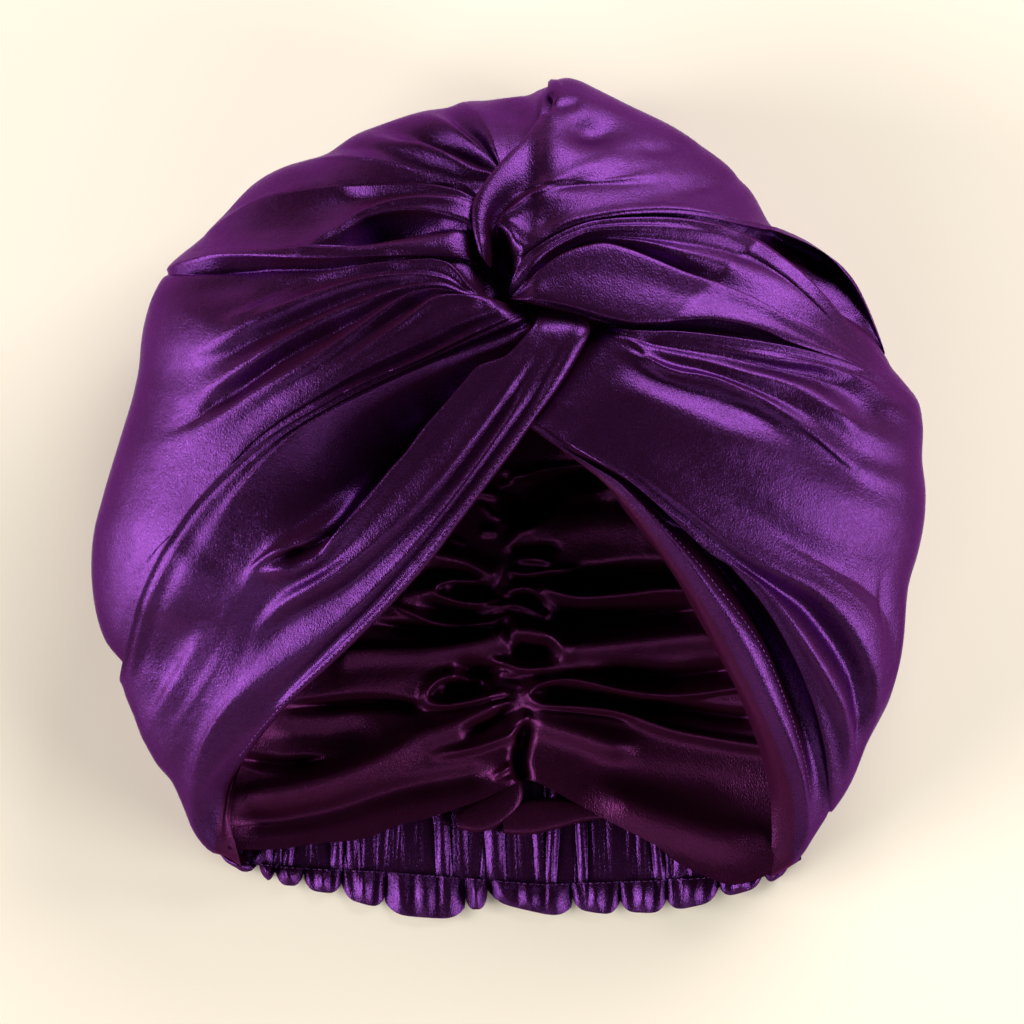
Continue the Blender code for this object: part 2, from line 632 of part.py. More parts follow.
def wrap_half(name, folds, side, material):
    """One outer half: from the twist over the side and under to the centre back seam."""
    share = steps(0, 1, FOLD_STATIONS)
    stations = TWIST_SPREAD * share + (1 - TWIST_SPREAD) * np.sin(share * math.pi / 2)
    columns = across_ribs(ribs_of(folds, stations, -side))
    top = raised(columns)
    grid = np.concatenate([top, underside(top[:, -1], side)], axis=1)
    inner = grid - grid_normals(grid) * side * WALL
    inner[:, -2:] = grid[:, -2:] + np.array([0, 0, WALL])
    grid[..., 2] = np.maximum(grid[..., 2], 0)
    inner[..., 2] = np.maximum(inner[..., 2], 0.1)
    add_piece(wall_mesh(name, grid, inner), material)


def lining_height(x, y):
    """The lining's trough: low along the middle and rising to the sides."""
    share = np.clip(share_out(x, y), 0, 1)
    depth = np.clip((y - LINING_FROM) / LINING_RUN, 0.15, 1)
    climb = LINING_SIDE * depth * (np.abs(x) / LINING_HALF) ** 3
    return LINING_BASE + climb + LINING_EDGE * np.clip(share - 0.5, 0, 1) ** 2


def lining_half(name, folds, side, material):
    stations = steps(0, 1, LINING_STATIONS)
    columns = across_ribs(ribs_of(folds, stations, side, out_to_rim=False))
    x = columns[..., 0]
    y = columns[..., 1]
    lower = np.stack([x, y, lining_height(x, y) + columns[..., 2]], axis=-1)
    upper = lower + np.array([0, 0, WALL])
    add_piece(wall_mesh(name, lower, upper), material)


def nape_rows():
    x = steps(NAPE[0].x, NAPE[-1].x, NAPE_STATIONS)
    table = curve_at([row.x for row in NAPE], [[row.top, row.stitch, row.edge] for row in NAPE], x)
    return x, table


def gathers(x):
    """Uneven gathers along the elastic, from -1 to 1."""
    phase = x / PLEAT_PITCH * 2 * math.pi
    return np.sin(phase + GATHER_UNEVEN * np.sin(x / GATHER_DRIFT))


def nape_casing(material):
    x, table = nape_rows()
    rows = []
    for share in steps(0, 1, 3):
        y = table[:, 0] + (table[:, 1] + NAPE_GAP - table[:, 0]) * share
        swell = math.sin(math.pi * (0.2 + 0.6 * share))
        ends = np.clip((CASING_END - np.abs(x)) / CASING_FADE, 0.15, 1)
        z = CASING_BASE + (CASING_SWELL + CASING_GATHER * gathers(x)) * swell * ends
        rows.append(np.stack([x, y, z], axis=1))
    upper = np.stack(rows, axis=0)
    lower = upper - np.array([0, 0, CASING_WALL])
    add_piece(wall_mesh("nape_casing", upper, lower), material)


def nape_frill(material):
    x, table = nape_rows()
    rows = []
    for share in steps(0, 1, 3):
        y = table[:, 1] - NAPE_GAP + (table[:, 2] - table[:, 1] + 2 * NAPE_GAP) * share
        wave = gathers(x)
        gathered = (FRILL_LEAST + FRILL_GATHER * share) * (wave + 1) / 2
        z = FRILL_BASE + gathered + FRILL_RISE * share
        rows.append(np.stack([x, y, z], axis=1))
    upper = np.stack(rows, axis=0)
    lower = upper - np.array([0, 0, FRILL_WALL])
    add_piece(wall_mesh("nape_frill", upper, lower), material)


def twist_core(material):
    """The crossed cloth that closes the bottom of the twist, as a shallow folded dish."""
    turn = steps(-1, 1, CORE_STATIONS)
    u, v = np.meshgrid(turn, turn, indexing="ij")
    x = CORE_MIDDLE[0] + CORE_RADII[0] * u * np.sqrt(1 - v**2 / 2)
    y = CORE_MIDDLE[1] + CORE_RADII[1] * v * np.sqrt(1 - u**2 / 2)
    fold = CORE_FOLD * np.sin(4 * (u + 0.6 * v))
    z = dome_height(x, y) - CORE_DEPTH - CORE_DOME * (u**2 + v**2) + fold
    upper = np.stack([x, y, z], axis=-1)
    lower = upper - np.array([0, 0, CORE_WALL])
    add_piece(wall_mesh("twist_core", upper, lower), material)


def seam_tab(material):
    """The ends of the centre seam's facing, laid flat over the elastic."""
    rows = []
    for share in steps(0, 1, 4):
        rows.append([(row.x, row.top + (row.bottom - row.top) * share, TAB_HEIGHT) for row in TAB])
    lower = np.array(rows, float)
    upper = lower + np.array([0, 0, WALL])
    add_piece(wall_mesh("seam_tab", upper, lower), material)


def stand_at_origin():
    """Moves every piece so that the whole stands at the middle of its box, on the surface."""
    pieces = [piece for piece in bpy.data.objects if piece.type == "MESH"]
    points = np.array([vertex.co[:] for piece in pieces for vertex in piece.data.vertices])
    low = points.min(axis=0)
    high = points.max(axis=0)
    shift = -np.array([(low[0] + high[0]) / 2, (low[1] + high[1]) / 2, low[2]])
    for piece in pieces:
        for vertex in piece.data.vertices:
            vertex.co = [a + b for a, b in zip(vertex.co, shift)]
    return shift


def clear_scene():
    for piece in list(bpy.data.objects):
        bpy.data.objects.remove(piece, do_unlink=True)


def main():
    clear_scene()
    outer = satin("purple satin", (0.09, 0.02, 0.16), 0.35)
    inner = satin("plum satin lining", (0.10, 0.02, 0.09), 0.4)
    wrap_half("wrap_left", LEFT_FOLDS, -1, outer)
    wrap_half("wrap_right", RIGHT_FOLDS, 1, outer)
    lining_half("lining_left", LEFT_LINING, -1, inner)
    lining_half("lining_right", RIGHT_LINING, 1, inner)
    twist_core(outer)
    seam_tab(inner)
    nape_casing(outer)
    nape_frill(outer)
    stand_at_origin()


main()
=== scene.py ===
"""Dresses the satin turban sleep bonnet: its folds, gathers, stitches and cloth, then light and camera.

Plan positions in the tables are in millimetres, as in the CAD model: x to the right of the view and y
towards the crown, from the middle of the bonnet. Each fold adds its lift along the dome's normal.
"""

import math
from collections import namedtuple

import bpy
import numpy as np
from mathutils import Matrix, Vector


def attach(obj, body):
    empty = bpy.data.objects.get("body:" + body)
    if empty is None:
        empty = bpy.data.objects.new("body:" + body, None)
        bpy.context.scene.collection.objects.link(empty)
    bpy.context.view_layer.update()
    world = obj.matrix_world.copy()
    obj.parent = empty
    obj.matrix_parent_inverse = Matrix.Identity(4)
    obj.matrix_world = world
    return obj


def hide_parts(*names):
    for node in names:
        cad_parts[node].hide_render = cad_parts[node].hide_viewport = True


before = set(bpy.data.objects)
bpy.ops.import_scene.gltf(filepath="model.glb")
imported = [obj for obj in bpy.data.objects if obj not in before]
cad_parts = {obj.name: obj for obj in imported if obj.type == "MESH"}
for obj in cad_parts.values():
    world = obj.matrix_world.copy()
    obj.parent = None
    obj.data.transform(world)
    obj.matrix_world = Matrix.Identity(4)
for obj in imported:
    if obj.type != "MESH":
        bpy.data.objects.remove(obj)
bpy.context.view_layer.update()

MM = 0.001
SHIFT = (-0.2, -0.7)  # from the tables' middle to the frame's, which is the middle of the CAD box
FLOOR_CLEAR = 0.25

# The dome that carries every fold
DOME_MIDDLE = (0.0, 10.0)
DOME_POWER = 2.2
DOME_ROUND = 1.7
NORMAL_STEP = 1.5  # either side of a point, to measure the dome's slope
NORMAL_INNER = 0.985  # the slope is read no further out than this share
LEVEL_START = 0.9  # from this share out, the normals turn level

# The hidden crease beside a fold's edge
CREASE_START = 14.0  # how far along the fold it is fully grown
CREASE_IN = 0.8  # share of the drop that it lies in under the body
CREASE_ROOM = 0.55  # and at most this share of the room there
CREASE_FADE = 0.3  # share of the fold over which it runs out
CREASE_FLAT = 0.4  # where it then lies, between the edge and the fold beyond

# The underside, from the outline down to the floor and in to the back seam or the nape
UNDER_WIDTH = 32.0
UNDER_SLOPE = 0.75  # widest turn for each millimetre of the rim's height
UNDER_ROOM = 0.6  # and at most this share of the way to the seam
SEAM_GAP = 0.3
BACK_TOP = 118.0
BACK_END = -101.0
BACK_LOW = 19.0  # how much lower the nape's corners end
SEAM_BEND = 15.0
SEAM_BEND_START = 30.0
CROWN_END = 148.0
EAR_START = -96.0
EAR_SPAN = 30.0
EAR_INSET = 10.0

# How fine the cloth is
STATIONS = 150  # along a fold
COLUMN_SPAN = 1.5  # between two columns where they are widest apart
TURN_ROWS = 16
UNDER_ROWS = 6
LINING_GRID = (150, 270)  # out from the seam, and down
CASING_GRID = (700, 40)  # across, and down
FRILL_GRID = (800, 46)
CORE_GRID = 60
TAIL_GRID = (25, 40)  # across, and along

# The lining's trough
LINING_TOP = 66.0
LINING_END = -130.0
LINING_LOW = 12.0
LINING_RISE = 34.0  # how much higher its sides are
LINING_HALF = 118.0
LINING_RIM = 10.0
SEAM_REACH = 3.0  # how far from the centre seam its puckers reach
SEAM_PUCKER = 0.9

# The gathered nape
PLEAT_PITCH = (3.2, 7.4)  # narrowest and widest gather
PLEAT_SEED = 11
PLEAT_HEIGHT = (0.35, 1.0)
PLEAT_LEAN = 3.4
CASING_RISE = 2.8
CASING_SMALL = 0.4  # the small gathers between
CASING_SHARP = 2.2
CASING_SMALL_SHARP = 2.0
CASING_MIDDLE = -2.0
CASING_HALF = 106.0
CASING_FADE = 16.0  # over which its ends lie down
FRILL_PUFF = 4.6
FRILL_WAVE = 1.4
FRILL_TUCK = 0.16  # share of its length that turns under
FRILL_CORNER = 4.6  # how far the edge draws up between two flounces
FRILL_GAP = 0.6
FRILL_FLOOR = 0.35

# The crossed cloth inside the twist
CORE_MIDDLE = (-4.0, 80.0)
CORE_HALF = (13.0, 17.0)
CORE_DEPTH = 16.0
CORE_CUP = 2.5

# The tails of the seam's facing
TAIL_SWELL = 0.8
TAIL_TURN = 1.2

# The stitches
STITCH_PITCH = 2.3
STITCH_LONG = 0.8  # half a stitch's length
STITCH_THICK = 0.22  # half its thickness
STITCH_AIM = 0.4  # either side of a stitch, to find its direction
STITCH_ROUND = (8, 6)  # sides around a stitch, and rows from end to end
HEM_STITCH_LIFT = 0.1
NAPE_STITCH_LIFT = 0.15
NAPE_STITCH_ENDS = 20  # the frill's columns without stitches at each end

# The view and the room
PHOTO_MIDDLE = (1.4, -4.2)  # plan point in the middle of the view
VIEW_WIDTH = 358.4  # millimetres across the view at the height of the outline
VIEW_HEIGHT = 55.0
CAMERA_HEIGHT = 4000.0
SENSOR = 36.0
FLOOR_REACH = 3.0  # in metres
FLOOR_COLOUR = (0.97, 0.86, 0.66)
WORLD_COLOUR = (0.9, 0.93, 1.0, 1)
WORLD_STRENGTH = 0.02

# Where a light stands and what it aims at, and its two sides, in metres; its power in watts
Light = namedtuple("Light", "name place aim size power colour")
LIGHTS = [
    Light("left window", (-1.5, -0.3, 0.52), (0, 0, 0.05), (1.4, 0.55), 42, (0.93, 0.94, 1.0)),
    Light("crown window", (0.85, 1.3, 0.68), (0, 0, 0.05), (1.5, 0.8), 44, (0.92, 0.93, 1.0)),
    Light("right window", (1.45, -0.6, 0.5), (0, 0, 0.05), (1.1, 0.5), 24, (0.93, 0.94, 1.0)),
    Light("nape fill", (-0.2, -1.35, 0.85), (0, -0.05, 0.03), (1.0, 0.5), 3.5, (1, 1, 1)),
]

# A satin's darkest and lightest colour, how rough it is, and the tints of its sheen and its reflections
Satin = namedtuple("Satin", "name dark light roughness sheen_tint specular_tint")
OUTER_SATIN = Satin("purple satin", (0.041, 0.009, 0.060), (0.062, 0.015, 0.092), 0.28,
                    (0.85, 0.07, 0.20), (0.66, 0.36, 0.95))
INNER_SATIN = Satin("plum satin lining", (0.044, 0.0065, 0.033), (0.062, 0.010, 0.047), 0.34,
                    (0.85, 0.06, 0.20), (0.62, 0.28, 0.70))
THREAD = Satin("purple thread", (0.10, 0.03, 0.14), (0.16, 0.05, 0.21), 0.42,
               (0.85, 0.07, 0.20), (0.66, 0.36, 0.95))
GRAIN_RANGE = (0.25, 0.75)
ROUGH_SPREAD = (-0.07, 0.09)
METALLIC = 0.88
SHEEN_WEIGHT = 0.03
SHEEN_ROUGHNESS = 0.9

Outline = namedtuple("Outline", "x y")
OUTLINE = [
    Outline(21, 148.2),
    Outline(17.6, 147.6),
    Outline(15, 146.0),
    Outline(12.6, 143.8),
    Outline(9.6, 142.2),
    Outline(1, 141.8),
    Outline(-8, 139.9),
    Outline(-17, 138.5),
    Outline(-30, 136.0),
    Outline(-45, 132.0),
    Outline(-56, 126.8),
    Outline(-65, 120.6),
    Outline(-72, 118.8),
    Outline(-78, 117.2),
    Outline(-85, 113.8),
    Outline(-90, 110.3),
    Outline(-95, 106.0),
    Outline(-100, 100.2),
    Outline(-105, 94.2),
    Outline(-110, 89.8),
    Outline(-115, 85.8),
    Outline(-119, 81.4),
    Outline(-121.4, 77.6),
    Outline(-124.4, 73.0),
    Outline(-126.6, 66.0),
    Outline(-128.4, 58.0),
    Outline(-129.6, 46.0),
    Outline(-131, 39.0),
    Outline(-136, 22.0),
    Outline(-142.6, 0.0),
    Outline(-145.4, -11.0),
    Outline(-146.4, -24.0),
    Outline(-144.6, -40.0),
    Outline(-141.4, -50.0),
    Outline(-136.6, -60.5),
    Outline(-134, -70.0),
    Outline(-130, -82.0),
    Outline(-124, -92.4),
    Outline(-118.4, -99.0),
    Outline(-114.2, -108.6),
    Outline(-111.2, -117.0),
    Outline(-107.6, -123.4),
    Outline(-100.6, -128.4),
    Outline(-90, -133.6),
    Outline(-60, -140.0),
    Outline(0, -144.0),
    Outline(60, -143.0),
    Outline(94, -136.4),
    Outline(101, -130.0),
    Outline(106, -122.2),
    Outline(114, -110.4),
    Outline(119, -103.4),
    Outline(122.4, -96.6),
    Outline(126.4, -86.0),
    Outline(131, -77.0),
    Outline(134.4, -70.0),
    Outline(137.3, -60.0),
    Outline(139, -50.0),
    Outline(139.8, -40.0),
    Outline(140.6, -31.0),
    Outline(144.4, -17.0),
    Outline(146.2, -7.0),
    Outline(146.6, 3.0),
    Outline(145.4, 14.0),
    Outline(145.5, 27.0),
    Outline(144, 34.4),
    Outline(138.4, 42.0),
    Outline(134.4, 46.8),
    Outline(132.2, 51.6),
    Outline(130, 59.0),
    Outline(127.3, 67.2),
    Outline(123.6, 74.5),
    Outline(119, 80.3),
    Outline(112, 85.8),
    Outline(105, 90.2),
    Outline(98, 93.1),
    Outline(93.3, 95.2),
    Outline(90, 100.2),
    Outline(85, 108.8),
    Outline(80.6, 114.0),
    Outline(70, 123.0),
    Outline(60, 129.8),
    Outline(40, 139.8),
    Outline(30, 144.8),
    Outline(25, 147.2),
]

Section = namedtuple("Section", "y crest rim")
SECTIONS = [
    Section(150, 112, 45),
    Section(72, 112, 46),
    Section(24, 107, 45),
    Section(-24, 98, 41),
    Section(-60, 84, 36),
    Section(-100, 60, 25),
    Section(-125, 40, 15),
    Section(-150, 24, 8),
]

# One row for each fold, from the twist out to the outline. Each point of a path is (x, y, lift).
# over says which neighbour the fold's edge lies on: the one before it, the one after it, or neither.
# drop is how far the hidden crease beside that edge lies below it. last is the share of the drop that is
# left where the crease has run out, and close is the share of the path where it has.
Fold = namedtuple("Fold", "name over drop path last close", defaults=[1.0, 0.85])

LEFT_FOLDS = [
    Fold("seam side", None, 0, [
        (-4, 98, -9), (-3, 107, -6), (2.5, 115, -5), (9.5, 125, -5), (15.5, 134, -5), (18.6, 146, -2),
    ]),
    Fold("seam edge", None, 0, [
        (-5, 98.5, -8.5), (-4.5, 106, -5.5), (0, 114, -3.5), (7, 125, -2.6), (12.8, 134.4, -2),
        (14.8, 145, -0.4),
    ]),
    Fold("crown bump", None, 0, [
        (-5.3, 98.6, -8.2), (-5, 106.5, -5.2), (-0.4, 115, -2.4), (5.2, 124, -1), (10.6, 132.6, 0.4),
        (12, 138, 1.6), (11.4, 143, 1),
    ]),
    Fold("crown hollow", None, 0, [
        (-5.6, 98.8, -8), (-5.6, 107, -5), (-1, 115.6, -1.8), (2, 122, -0.4), (3.6, 130, -0.8),
        (3.6, 136.6, -1.8), (4.4, 142, 0),
    ]),
    Fold("crown face", None, 0, [
        (-6, 99, -8), (-6.4, 107.4, -4.6), (-1.8, 115.8, -1), (-1, 122, 0.2), (-2, 130, 0.4),
        (-3.6, 135, 0.2), (-5, 140.7, 0),
    ]),
    Fold("crown ridge 1", None, 0, [
        (-6.4, 99.2, -7.6), (-7, 107.8, -4.2), (-2.8, 115.8, -0.4), (-4.4, 121, 1.6), (-7, 127, 2.4),
        (-10.6, 132.4, 2.4), (-15.4, 138.8, 1),
    ]),
    Fold("crown valley 1", None, 0, [
        (-6.8, 99.4, -7.6), (-7.6, 108, -4.2), (-3.4, 115.6, -1.6), (-6.8, 121, -1.8),
        (-11.4, 127, -2.2), (-15.8, 131.4, -1.8), (-21, 137.8, 0),
    ]),
    Fold("crown ridge 2", None, 0, [
        (-7.2, 99.6, -7.6), (-8, 108.2, -4), (-4, 115.4, -0.6), (-9, 120.8, 1.4), (-15, 126, 2),
        (-22, 131, 1.8), (-30, 136, 0.4),
    ]),
    Fold("crown valley 2", None, 0, [
        (-7.6, 99.8, -7.6), (-8.6, 108.2, -4), (-4.8, 115, -2.4), (-11, 118.6, -3.6), (-18, 122, -4.4),
        (-27, 126.6, -4.2), (-36, 129.8, -2.2), (-44, 132.2, -0.4),
    ]),
    Fold("crown ridge 3", None, 0, [
        (-8, 100, -7.4), (-9.2, 108, -3.8), (-6, 113.8, -1.4), (-12, 115, 0), (-20, 118.6, 1.8),
        (-30, 122.6, 2.2), (-40, 124.8, 1), (-53, 128.4, 0),
    ]),
    Fold("crown valley 3", None, 0, [
        (-8.4, 100.2, -7.4), (-9.8, 107.8, -3.6), (-8, 111.8, -3), (-14, 112.4, -2.6), (-24, 115.4, -2),
        (-34, 118.6, -1.8), (-46, 122.6, -0.6), (-60, 124, 0),
    ]),
    Fold("lobe top", "before", 3.4, [
        (-8.8, 100.4, -7.2), (-10.6, 106.6, -2), (-14, 108.6, 0.8), (-20, 110.2, 1.4), (-30, 113.2, 2),
        (-40, 115.9, 2.2), (-50, 118, 2.2), (-58, 119.2, 1.6), (-66.8, 119.8, 0.3),
    ], 0.1),
    Fold("lobe top back", None, 0, [
        (-9, 100.2, -7.2), (-10.8, 106.2, -2), (-14, 108, 0.4), (-20, 109.4, 0.8), (-30, 112.2, 1.2),
        (-40, 114.8, 1.6), (-52, 116.8, 1.6), (-66, 117.9, 0.8), (-76, 117.8, 0),
    ]),
    Fold("lobe band", None, 0, [
        (-9.2, 100, -7.2), (-11, 105.8, -2.2), (-15, 106.9, -0.4), (-22, 108.9, -0.4),
        (-34, 110.4, -0.2), (-52, 112.2, 0.4), (-70, 112, 0.4), (-88, 111.8, 0),
    ]),
    Fold("lobe rim", "before", 2.6, [
        (-9.6, 99.6, -7), (-11.2, 104.6, -1.6), (-15, 106.2, 0.8), (-22, 108, 1.6), (-30, 108.8, 2),
        (-40, 108.9, 2.2), (-50, 108.6, 2.4), (-60, 108.2, 2.4), (-70, 107.1, 2.2), (-80, 105.4, 2),
        (-88, 103, 1.6), (-95, 99.5, 1.2), (-100, 96.8, 0.8), (-105, 94.2, 0.3),
    ], 0.2),
    Fold("rim shade", None, 0, [
        (-9.8, 99, -7), (-11.4, 103.6, -1.8), (-16, 104.8, 0.4), (-24, 105.8, 0.4), (-36, 106.4, -0.6),
        (-50, 105.4, -1), (-64, 104.2, -0.6), (-80, 101.4, 0), (-92, 97.2, 0.2), (-107, 92.4, 0),
    ]),
    Fold("lobe dip", None, 0, [
        (-10, 98.6, -7), (-11.6, 102.8, -1.6), (-16.6, 104.3, 0.7), (-24, 105, 1.4), (-36, 105.2, 0.8),
        (-48, 102.8, 0.4), (-58, 99.4, -0.4), (-66, 96.8, -0.8), (-76, 95, -0.9), (-90, 94, -0.4),
        (-108.2, 91.4, 0),
    ]),
    Fold("lobe ridge", None, 0, [
        (-10.2, 98, -7), (-12, 101.6, -1.4), (-17, 103.4, 1), (-25, 103.8, 2.2), (-35, 103.4, 2.2),
        (-44, 101.6, 2), (-52, 98.4, 1.6), (-58, 94.6, 1.1), (-64, 91.9, 0.6), (-72, 91, 0.2),
        (-86, 91, 0.2), (-109.2, 90.5, 0),
    ]),
    Fold("lens lip", None, 0, [
        (-10.3, 97.4, -7), (-12.1, 99.4, -1.8), (-17, 100.8, 0.4), (-25, 101.8, 0.8), (-36, 101.8, 0.8),
        (-46, 100.2, 0.8), (-54, 96.4, 0.9), (-59.6, 92.8, 0.9), (-65.4, 90.4, 0.8), (-74, 89.6, 0.6),
        (-88, 89.8, 0.5), (-110, 89.8, 0),
    ]),
    Fold("lens rim", "after", 5, [
        (-10.4, 96.4, -7), (-12.2, 96, -2), (-16, 96.8, 0.2), (-21, 98.2, 1), (-28, 99.8, 1.4),
        (-38, 100, 1.4), (-47, 98.5, 1.2), (-54, 94.9, 1), (-59.5, 91.6, 0.9), (-66, 89, 1),
        (-76, 88.4, 1), (-90, 88.8, 0.9), (-111, 89, 0),
    ], 0.0, 0.56),
    Fold("lens hollow", None, 0, [
        (-10.6, 94, -9), (-13, 94.4, -5), (-18, 95.2, -5), (-24, 95.8, -7), (-32, 95.8, -10),
        (-42, 94.4, -11), (-50, 91.8, -9), (-56.5, 89.4, -3.6), (-64, 87.9, 0.6), (-76, 87.5, 1.4),
        (-92, 87.9, 1.2), (-112, 88.2, 0),
    ]),
    Fold("hollow rim", None, 0, [
        (-10.8, 92.6, -9), (-13.4, 93.2, -4.4), (-17, 93.8, -1.4), (-22, 92.8, -0.8), (-28, 93, -2),
        (-35, 91.4, -1.4), (-42, 89.6, 0), (-50, 87.8, 1), (-57, 87.2, 1.8), (-66, 86.8, 2.1),
        (-78, 86.6, 2.2), (-94, 87, 1.6), (-114, 86.6, 0),
    ]),
    Fold("hollow floor", None, 0, [
        (-11, 90, -9), (-13.4, 89.8, -4.4), (-18, 89.6, -0.6), (-26, 89.2, 0.8), (-36, 87.6, 1.4),
        (-46, 86.2, 1.8), (-57, 85.8, 2), (-70, 85.8, 2.2), (-84, 85.8, 2.4), (-98, 86, 1.8),
        (-115.8, 85.2, 0.1),
    ]),
    Fold("lobe foot", None, 0, [
        (-10.6, 88, -10), (-13, 87, -5), (-18, 86.4, -1), (-26, 86.4, 0.6), (-38, 85.6, 1),
        (-50, 84.8, 1.4), (-62, 84.4, 2), (-80, 84.7, 2.6), (-98, 84.9, 2.2), (-117.4, 83.4, 0.3),
    ]),
    Fold("lobe edge", "after", 4.4, [
        (-10, 85.4, -11), (-12.8, 84.4, -5.4), (-18, 84.6, -1.6), (-26, 84.7, -0.4), (-38, 84.5, 0.2),
        (-50, 84, 0.8), (-60, 83.4, 1.4), (-70, 83.2, 1.8), (-80, 83.6, 2.2), (-92, 84.2, 2.4),
        (-102, 84, 2.2), (-110, 82.8, 1.6), (-119.4, 80.8, 0.4),
    ], 0.15),
    Fold("under lobe", None, 0, [
        (-8.6, 76, -12), (-11, 74.6, -7), (-15, 77.6, -3.6), (-19, 82, -3), (-26, 83.9, -2.4),
        (-40, 83.4, -2.8), (-52, 82.6, -4), (-62, 81.8, -6), (-72, 81.6, -6.6), (-84, 82.2, -6.8),
        (-100, 82.4, -6.4), (-110, 81.2, -4.6), (-120.4, 79.6, -1),
    ]),
    Fold("panel rim", None, 0, [
        (-8, 74, -11), (-10, 72.6, -5), (-14, 75, -1.4), (-17, 78.5, 0), (-20, 81.4, 0.7),
        (-25, 82.9, 1), (-32, 82.9, 1), (-40, 82.3, 1), (-50, 81.3, 0.6), (-60, 80.2, -0.8),
        (-68, 79.8, -2), (-80, 80.4, -2.4), (-100, 80.6, -2.2), (-121.2, 78.6, -0.2),
    ]),
    Fold("panel top", None, 0, [
        (-7.6, 73.4, -11), (-9.6, 72, -5), (-14.4, 73.4, -1.8), (-18.6, 76.6, -1), (-26, 79.4, -0.6),
        (-36, 79.4, -0.2), (-50, 78, -0.6), (-62, 76.2, -1.4), (-74, 73.4, -1.8), (-86, 70.6, -1.4),
        (-102, 67, -0.2), (-126.4, 67, 0),
    ]),
    Fold("panel ridge 1", None, 0, [
        (-7, 73, -11), (-9, 71.8, -5), (-14.8, 73, -1.8), (-20, 76, -0.6), (-28, 77.6, 0.4),
        (-40, 77.4, 1.2), (-52, 75.4, 1.8), (-62, 72, 2.2), (-72, 68.2, 2.4), (-82, 64, 2.4),
        (-92, 59.4, 2), (-104, 53.4, 1), (-128.8, 54, 0),
    ]),
    Fold("panel valley 1", None, 0, [
        (-6.6, 72.8, -11), (-8.6, 71.6, -5), (-15, 72.4, -1.8), (-21, 75, -0.8), (-30, 75.8, -0.8),
        (-40, 74.4, -1.6), (-50, 71.8, -2.6), (-60, 68.2, -3.4), (-70, 64.2, -3.6), (-80, 60, -3.4),
        (-90, 55.6, -2.6), (-102, 49.4, -1), (-129.6, 46.5, 0),
    ]),
    Fold("panel ridge 2", None, 0, [
        (-6.2, 72.6, -11), (-8.2, 71.5, -5), (-15.4, 71.9, -1.6), (-22, 74, -0.4), (-32, 74, 0.2),
        (-42, 71.4, 1), (-52, 67.4, 1.6), (-60, 64.2, 1.8), (-68, 60.2, 2), (-76, 55.8, 2),
        (-84, 51.2, 1.8), (-94, 45, 1.2), (-106, 38, 0.4), (-132, 36.5, 0),
    ]),
    Fold("panel valley 2", None, 0, [
        (-5.8, 72.4, -11), (-7.8, 71.4, -5), (-15.8, 71.6, -1.6), (-23, 73.2, -0.8), (-33, 72.2, -1),
        (-42, 68.6, -1.8), (-52, 63, -3.2), (-61, 58.8, -4.2), (-70, 54.4, -4.8), (-79, 49.4, -5),
        (-87, 44, -4.8), (-95, 38.4, -3.8), (-103, 33.8, -2.2), (-109, 29, -0.8), (-135, 26, 0),
    ]),
    Fold("panel ridge 3", None, 0, [
        (-5.4, 72.2, -11), (-7.6, 71.3, -4.6), (-14, 71.3, -0.6), (-20, 72.3, 0.8), (-25, 72.7, 1.4),
        (-30, 72.2, 1.6), (-36, 69.8, 1.8), (-42, 66, 2), (-47, 62.6, 2), (-55, 57, 2), (-62, 52.2, 1.8),
        (-72, 46.2, 1.4), (-84, 39.6, 1), (-104, 27.6, 0.4), (-138.6, 14, 0),
    ]),
    Fold("pocket", None, 0, [
        (-5, 72, -11), (-7.4, 71, -4.6), (-14, 70.9, -1), (-20, 71.4, -0.8), (-26, 71.2, -1.4),
        (-31, 68.6, -2.4), (-36, 65.4, -2.6), (-42, 61.4, -2), (-50, 56, -0.8), (-60, 49.2, 0),
        (-78, 38, 0), (-108, 17, 0), (-141.8, 3, 0),
    ]),
    Fold("roll", None, 0, [
        (-4.4, 71.6, -10), (-7, 70.8, -3), (-12, 70.5, 0.8), (-18, 70.7, 1.6), (-22, 70.4, 2),
        (-25, 69.4, 2.4), (-28, 67.4, 2.6), (-32, 64.4, 2.6), (-38, 60.2, 2.2), (-45, 55.4, 1.6),
        (-56, 48, 0.8), (-80, 32.6, 0.4), (-112, 4, 0), (-145, -8, 0),
    ]),
    Fold("band top", None, 0, [
        (-3.4, 71, -9), (-5, 69.8, -2.6), (-10, 68.4, 0.4), (-18, 67.6, 0.8), (-25, 65.2, 1),
        (-33, 60, 1), (-45, 52, 0.8), (-62, 41.6, 0.6), (-86, 25.4, 0.3), (-116, -8, 0),
        (-146.4, -20, 0),
    ]),
    Fold("band body", None, 0, [
        (-1.4, 69.8, -8), (-3.4, 68, -2.4), (-9, 65, 0.4), (-18, 61.4, 0.6), (-30, 55.4, 0.6),
        (-44, 48.6, 0.4), (-62, 38.6, 0), (-86, 22.4, 0), (-114, -9, 0), (-145.6, -34, 0),
    ]),
    Fold("band dip", None, 0, [
        (1, 68.4, -8), (-1, 66.2, -3), (-6, 63, -1.6), (-14, 59, -2.4), (-24, 53.6, -3),
        (-34, 49.2, -3.4), (-44, 45, -3.2), (-54, 40.8, -2.6), (-66, 34.4, -1.4), (-88, 20.6, -0.6),
        (-112, -3, -0.4), (-128, -26, -0.4), (-141.8, -49, 0),
    ]),
    Fold("band edge", "before", 3, [
        (5, 66.6, -7), (2, 64.4, -2), (-4, 61.4, 0.4), (-10, 58.6, 1.4), (-20, 53.8, 2),
        (-27, 50.2, 2.2), (-35, 46.8, 2.4), (-45, 42.7, 2.4), (-52, 39.5, 2.4), (-60, 35.4, 2.4),
